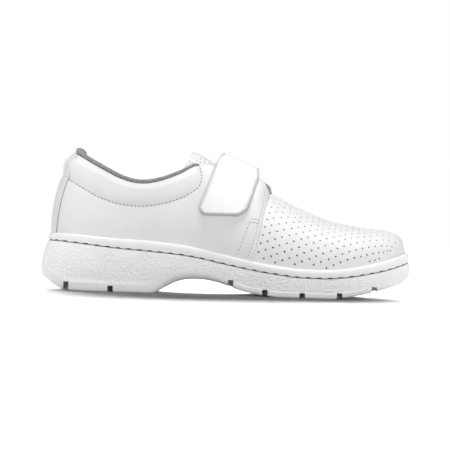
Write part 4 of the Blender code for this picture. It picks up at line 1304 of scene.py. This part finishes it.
def build_strap():
    half = STRAP_WIDTH / 2
    inside = np.linspace(-half + 0.0038, half - 0.0038, 28)
    distance = np.concatenate([-half + CLOSE_TO_EDGE, inside, half - CLOSE_TO_EDGE[::-1]])
    outer, inner = strap_grid(distance, STRAP_THICKNESS), strap_grid(distance, 0.0)
    from_end = np.array([run_along(line) for line in outer]) + corner_setback(distance)[:, None]
    side_room = (half - np.abs(distance))[:, None] + 0 * from_end
    inward = np.hypot(np.maximum(STRAP_CORNER - from_end, 0), np.maximum(STRAP_CORNER - side_room, 0))
    room = np.minimum(np.minimum(side_room, from_end), STRAP_CORNER - inward)
    sunk = STRAP_ROLL * (1 - np.sqrt(1 - np.clip(1 - room / STRAP_ROLL, 0, 1) ** 2))
    outer = outer - np.minimum(sunk, STRAP_THICKNESS * 0.72)[..., None] * unit(outer - inner)
    strap = shell("strap_band", outer, inner, [LIT_STRAP_LEATHER, CUT_EDGE_AND_SHADE], slot="strap_leather", sharp=60)
    tree = KDTree(room.size)
    for number, point in enumerate(outer.reshape(-1, 3)):
        tree.insert(point, number)
    tree.balance()
    # Faces within STRAP_RIM of the edge take the grey cut edge, which also paints the shade of the rolled rim
    for face in strap.data.polygons:
        face.material_index = int(room.ravel()[tree.find(face.center)[1]] < STRAP_RIM)
    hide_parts("strap")
    return outer, distance


def build_insole():
    places, half = sole_stations(0.0030)
    offset = -(VAMP_WALL + QUARTER_STEP + STRIP_STEP + CLEARANCE)
    loop = outline(places, np.full(len(places), offset))
    mirrored = loop[(-np.arange(half)) % len(loop)]
    across = np.linspace(0, 1, 21)
    grid = loop[:half, None] * (1 - across[None, :, None]) + mirrored[:, None] * across[None, :, None]
    dish = 0.0012 * (1 - (2 * across - 1) ** 4)
    low = platform_height(grid[..., 0]) + CLEARANCE
    top = raised(grid, low + INSOLE_THICKNESS - dish[None])
    insole = shell("insole_cloth", top, raised(grid, low), [LINING_TEXTILE], slot="insole_textile")
    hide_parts("insole")


# Stitches
def thread_template():
    """Points and faces of a short thread along X, from -0.5 to 0.5, with radius 0.5."""
    rings = [(-0.5, 0.35), (-0.42, 0.8), (0.0, 1.0), (0.42, 0.8), (0.5, 0.35)]
    sides = 6
    points = [
        (x, 0.5 * r * math.cos(2 * math.pi * i / sides), 0.5 * r * math.sin(2 * math.pi * i / sides))
        for x, r in rings for i in range(sides)
    ]
    faces = []
    for ring in range(len(rings) - 1):
        for i in range(sides):
            j = (i + 1) % sides
            faces.append([ring * sides + i, ring * sides + j, (ring + 1) * sides + j, (ring + 1) * sides + i])
    faces += [list(range(sides))[::-1], list(range(len(rings) * sides - sides, len(rings) * sides))]
    return np.array(points), faces


THREAD_POINTS, THREAD_FACES = thread_template()


def stitches(name, line, normals, length=0.0021, gap=0.0009, width=0.00062, hole=0.00036):
    """A row of stitches along a line on a surface, with a flat dark mark of painted shade for the needle hole
    in each gap.
    """
    run = run_along(line)
    lists = []

    def at(place, of):
        return np.array([np.interp(place, run, of[:, k]) for k in range(3)])

    start = gap
    while start + length < run[-1]:
        middle = at(start + length / 2, line)
        along = unit(at(start + length, line) - at(start, line))
        up = unit(at(start + length / 2, normals))
        side = unit(np.cross(up, along))
        up = np.cross(along, side)
        basis = np.stack([along * length, side * width, up * width * 0.8])
        lists.append((THREAD_POINTS @ basis + middle, THREAD_FACES, 0))
        # Flat dark mark in the gap: painted shade of the needle hole
        spot = at(start + length + gap / 2, line)
        basis = np.stack([along * gap * 0.9, side * hole * 2, up * 0.0002])
        lists.append((THREAD_POINTS @ basis + spot + 0.00002 * up, THREAD_FACES, 1))
        start += length + gap
    points, faces, slots = joined(lists)
    make(name, points, faces, [THREAD, NEEDLE_HOLE_SHADE], slots, weld=False, sharp=0, slot="white_leather")


FACING_SEAM = [
    Seam(11.22, 0.000),
    Seam(11.62, 0.135),
    Seam(11.92, 0.275),
    Seam(12.20, 0.415),
]
BAR_SEAMS = [
    [Seam(12.12, 0.420), Seam(13.42, 0.455)],
    [Seam(12.02, 0.375), Seam(13.40, 0.412)],
]
EDGE_SEAM = [Seam(*row) for row in (
    (12.50, 0.005), (12.90, 0.155), (13.28, 0.325), (13.42, 0.460),
    (13.44, 0.755), (13.25, 0.900),
)]


STITCH_INSET = 0.0027
STITCH_REACH = 0.105


def strap_stitch_line(outer, distance):
    """Points and normals of a line inside the strap's edges, from the crown round the free end and back."""
    inset = STITCH_INSET
    half, radius = STRAP_WIDTH / 2 - inset, STRAP_CORNER - inset
    down = [(-half, z) for z in np.linspace(STITCH_REACH, STRAP_CORNER, 90)]
    turns = np.linspace(0, math.pi / 2, 14)[1:]
    near = [(-half + radius * (1 - math.cos(a)), STRAP_CORNER - radius * math.sin(a)) for a in turns]
    flat = [(x, inset) for x in np.linspace(-half + radius, half - radius, 40)[1:-1]]
    back = [(-x, z) for x, z in near[::-1]]
    up = [(-x, z) for x, z in down[::-1]]
    runs = [run_along(line) for line in outer]
    facing = unit(np.cross(np.gradient(outer, axis=1), np.gradient(outer, axis=0)))
    if facing[15, 20, 1] > 0:
        facing = -facing
    points, normals = [], []
    for x, z in down + near + flat + back + up:
        reach = z - corner_setback(x)
        place = np.interp(x, distance, np.arange(len(distance)))
        first = min(int(place), len(distance) - 2)
        spot, way = np.zeros(3), np.zeros(3)
        for row, share in ((first, first + 1 - place), (first + 1, place - first)):
            for k in range(3):
                spot[k] += share * np.interp(reach, runs[row], outer[row, :, k])
                way[k] += share * np.interp(reach, runs[row], facing[row, :, k])
        points.append(spot)
        normals.append(way)
    return np.array(points), unit(np.array(normals))


def build_stitches(outer, distance):
    for side, word in ((-1, "outer"), (1, "inner")):
        points, normals = seam_line(COLLAR_SEAM, side, 300)
        stitches(f"collar_stitches_{word}", points - 0.0005 * normals, normals, 0.0018, 0.0012, hole=0.00040)
        for name, seam in (("facing", FACING_SEAM), ("edge", EDGE_SEAM)):
            stitches(f"{name}_stitches_{word}", *seam_line(seam, side, 120), width=0.0005, hole=0.00024)
        for number, seam in enumerate(BAR_SEAMS):
            stitches(f"bar_stitches_{word}_{number}", *seam_line(seam, side, 60), length=0.0014, width=0.0005)
    stitches("strap_stitches", *strap_stitch_line(outer, distance), width=0.0005, hole=0.00018)


build_sole()
build_bead()
build_quarters()
build_facing_lip()
build_back_strip()
build_vamp()
build_roll()
build_tongue()
STRAP_GRID = build_strap()
build_insole()
build_stitches(*STRAP_GRID)


# Stage, light and camera
FLOOR_HALF = 6.0


def build_floor():
    mesh = bpy.data.meshes.new("floor")
    corners = [(x * FLOOR_HALF, y * FLOOR_HALF, 0) for x, y in ((-1, -1), (1, -1), (1, 1), (-1, 1))]
    mesh.from_pydata(corners, [], [(0, 1, 2, 3)])
    floor = placed("floor", mesh)
    made, tree, shader = shader_of("floor_white")
    feed(tree, shader, Base_Color=(0.55, 0.55, 0.55, 1.0), Roughness=0.8, Specular_IOR_Level=0.1)
    mesh.materials.append(made)
    return floor


EYE_DISTANCE = 2.0
EYE_HEIGHT = 0.060
PIXEL = 0.784e-3
PICTURE = 450
ROLL = math.radians(1.77)
AIM_X = -0.00134
AIM_Z = 0.05400


def build_camera():
    target = Vector((AIM_X, 0.0, AIM_Z))
    eye = Vector((AIM_X, -EYE_DISTANCE, EYE_HEIGHT))
    back = (eye - target).normalized()
    right = Vector((0, 0, 1)).cross(back).normalized()
    turn = Matrix((right, back.cross(right), back)).transposed() @ Matrix.Rotation(ROLL, 3, "Z")
    camera = bpy.data.cameras.new("camera")
    camera.sensor_width = 36
    camera.lens = 36 * (eye - target).length / (PICTURE * PIXEL)
    made = placed("camera", camera)
    made.matrix_world = Matrix.Translation(eye) @ turn.to_4x4()
    bpy.context.scene.camera = made


def build_sun(name, source, energy, spread, lit):
    """Wide distant light that only reaches the objects of one collection; all of them cast its shadows."""
    sun = bpy.data.lights.new(name, "SUN")
    sun.energy = energy
    sun.angle = math.radians(spread)
    made = placed(name, sun)
    made.rotation_euler = Vector(source).to_track_quat("Z", "Y").to_euler()
    made.light_linking.receiver_collection = lit


SKY = 0.14


def build_light(floor):
    """White near the horizon, soft from higher up; the shoe and the floor have lights of their own."""
    world = bpy.data.worlds.new("studio")
    world.use_nodes = True
    tree = world.node_tree
    way = tree.nodes.new("ShaderNodeTexCoord").outputs["Generated"]
    height = add_node(tree, "ShaderNodeSeparateXYZ", Vector=way).outputs["Z"]
    tree.links.new(ramp(tree, height, [(0.11, 1.0), (0.20, SKY)]), tree.nodes["Background"].inputs["Color"])
    tree.nodes["Background"].inputs["Strength"].default_value = 1.0
    bpy.context.scene.world = world
    ground = bpy.data.collections.new("ground")
    ground.objects.link(floor)
    shoe = bpy.data.collections.new("shoe")
    for piece in bpy.context.scene.objects:
        if piece.type == "MESH" and piece != floor:
            shoe.objects.link(piece)
    for number, aside in enumerate((-1.5, -0.75, 0.0, 0.75, 1.5)):
        build_sun(f"floor_light_{number}", (aside, 2.6, 1.0), 3.9, 30, ground)
    build_sun("overhead", (0.0, -0.02, 1.0), 2.40, 34, shoe)
    build_sun("front", (0.12, -1.0, 0.04), 1.95, 60, shoe)
    build_sun("back", (0.0, 1.0, 0.8), 0.35, 60, shoe)
    bpy.context.scene.view_settings.view_transform = "Standard"


build_light(build_floor())
build_camera()
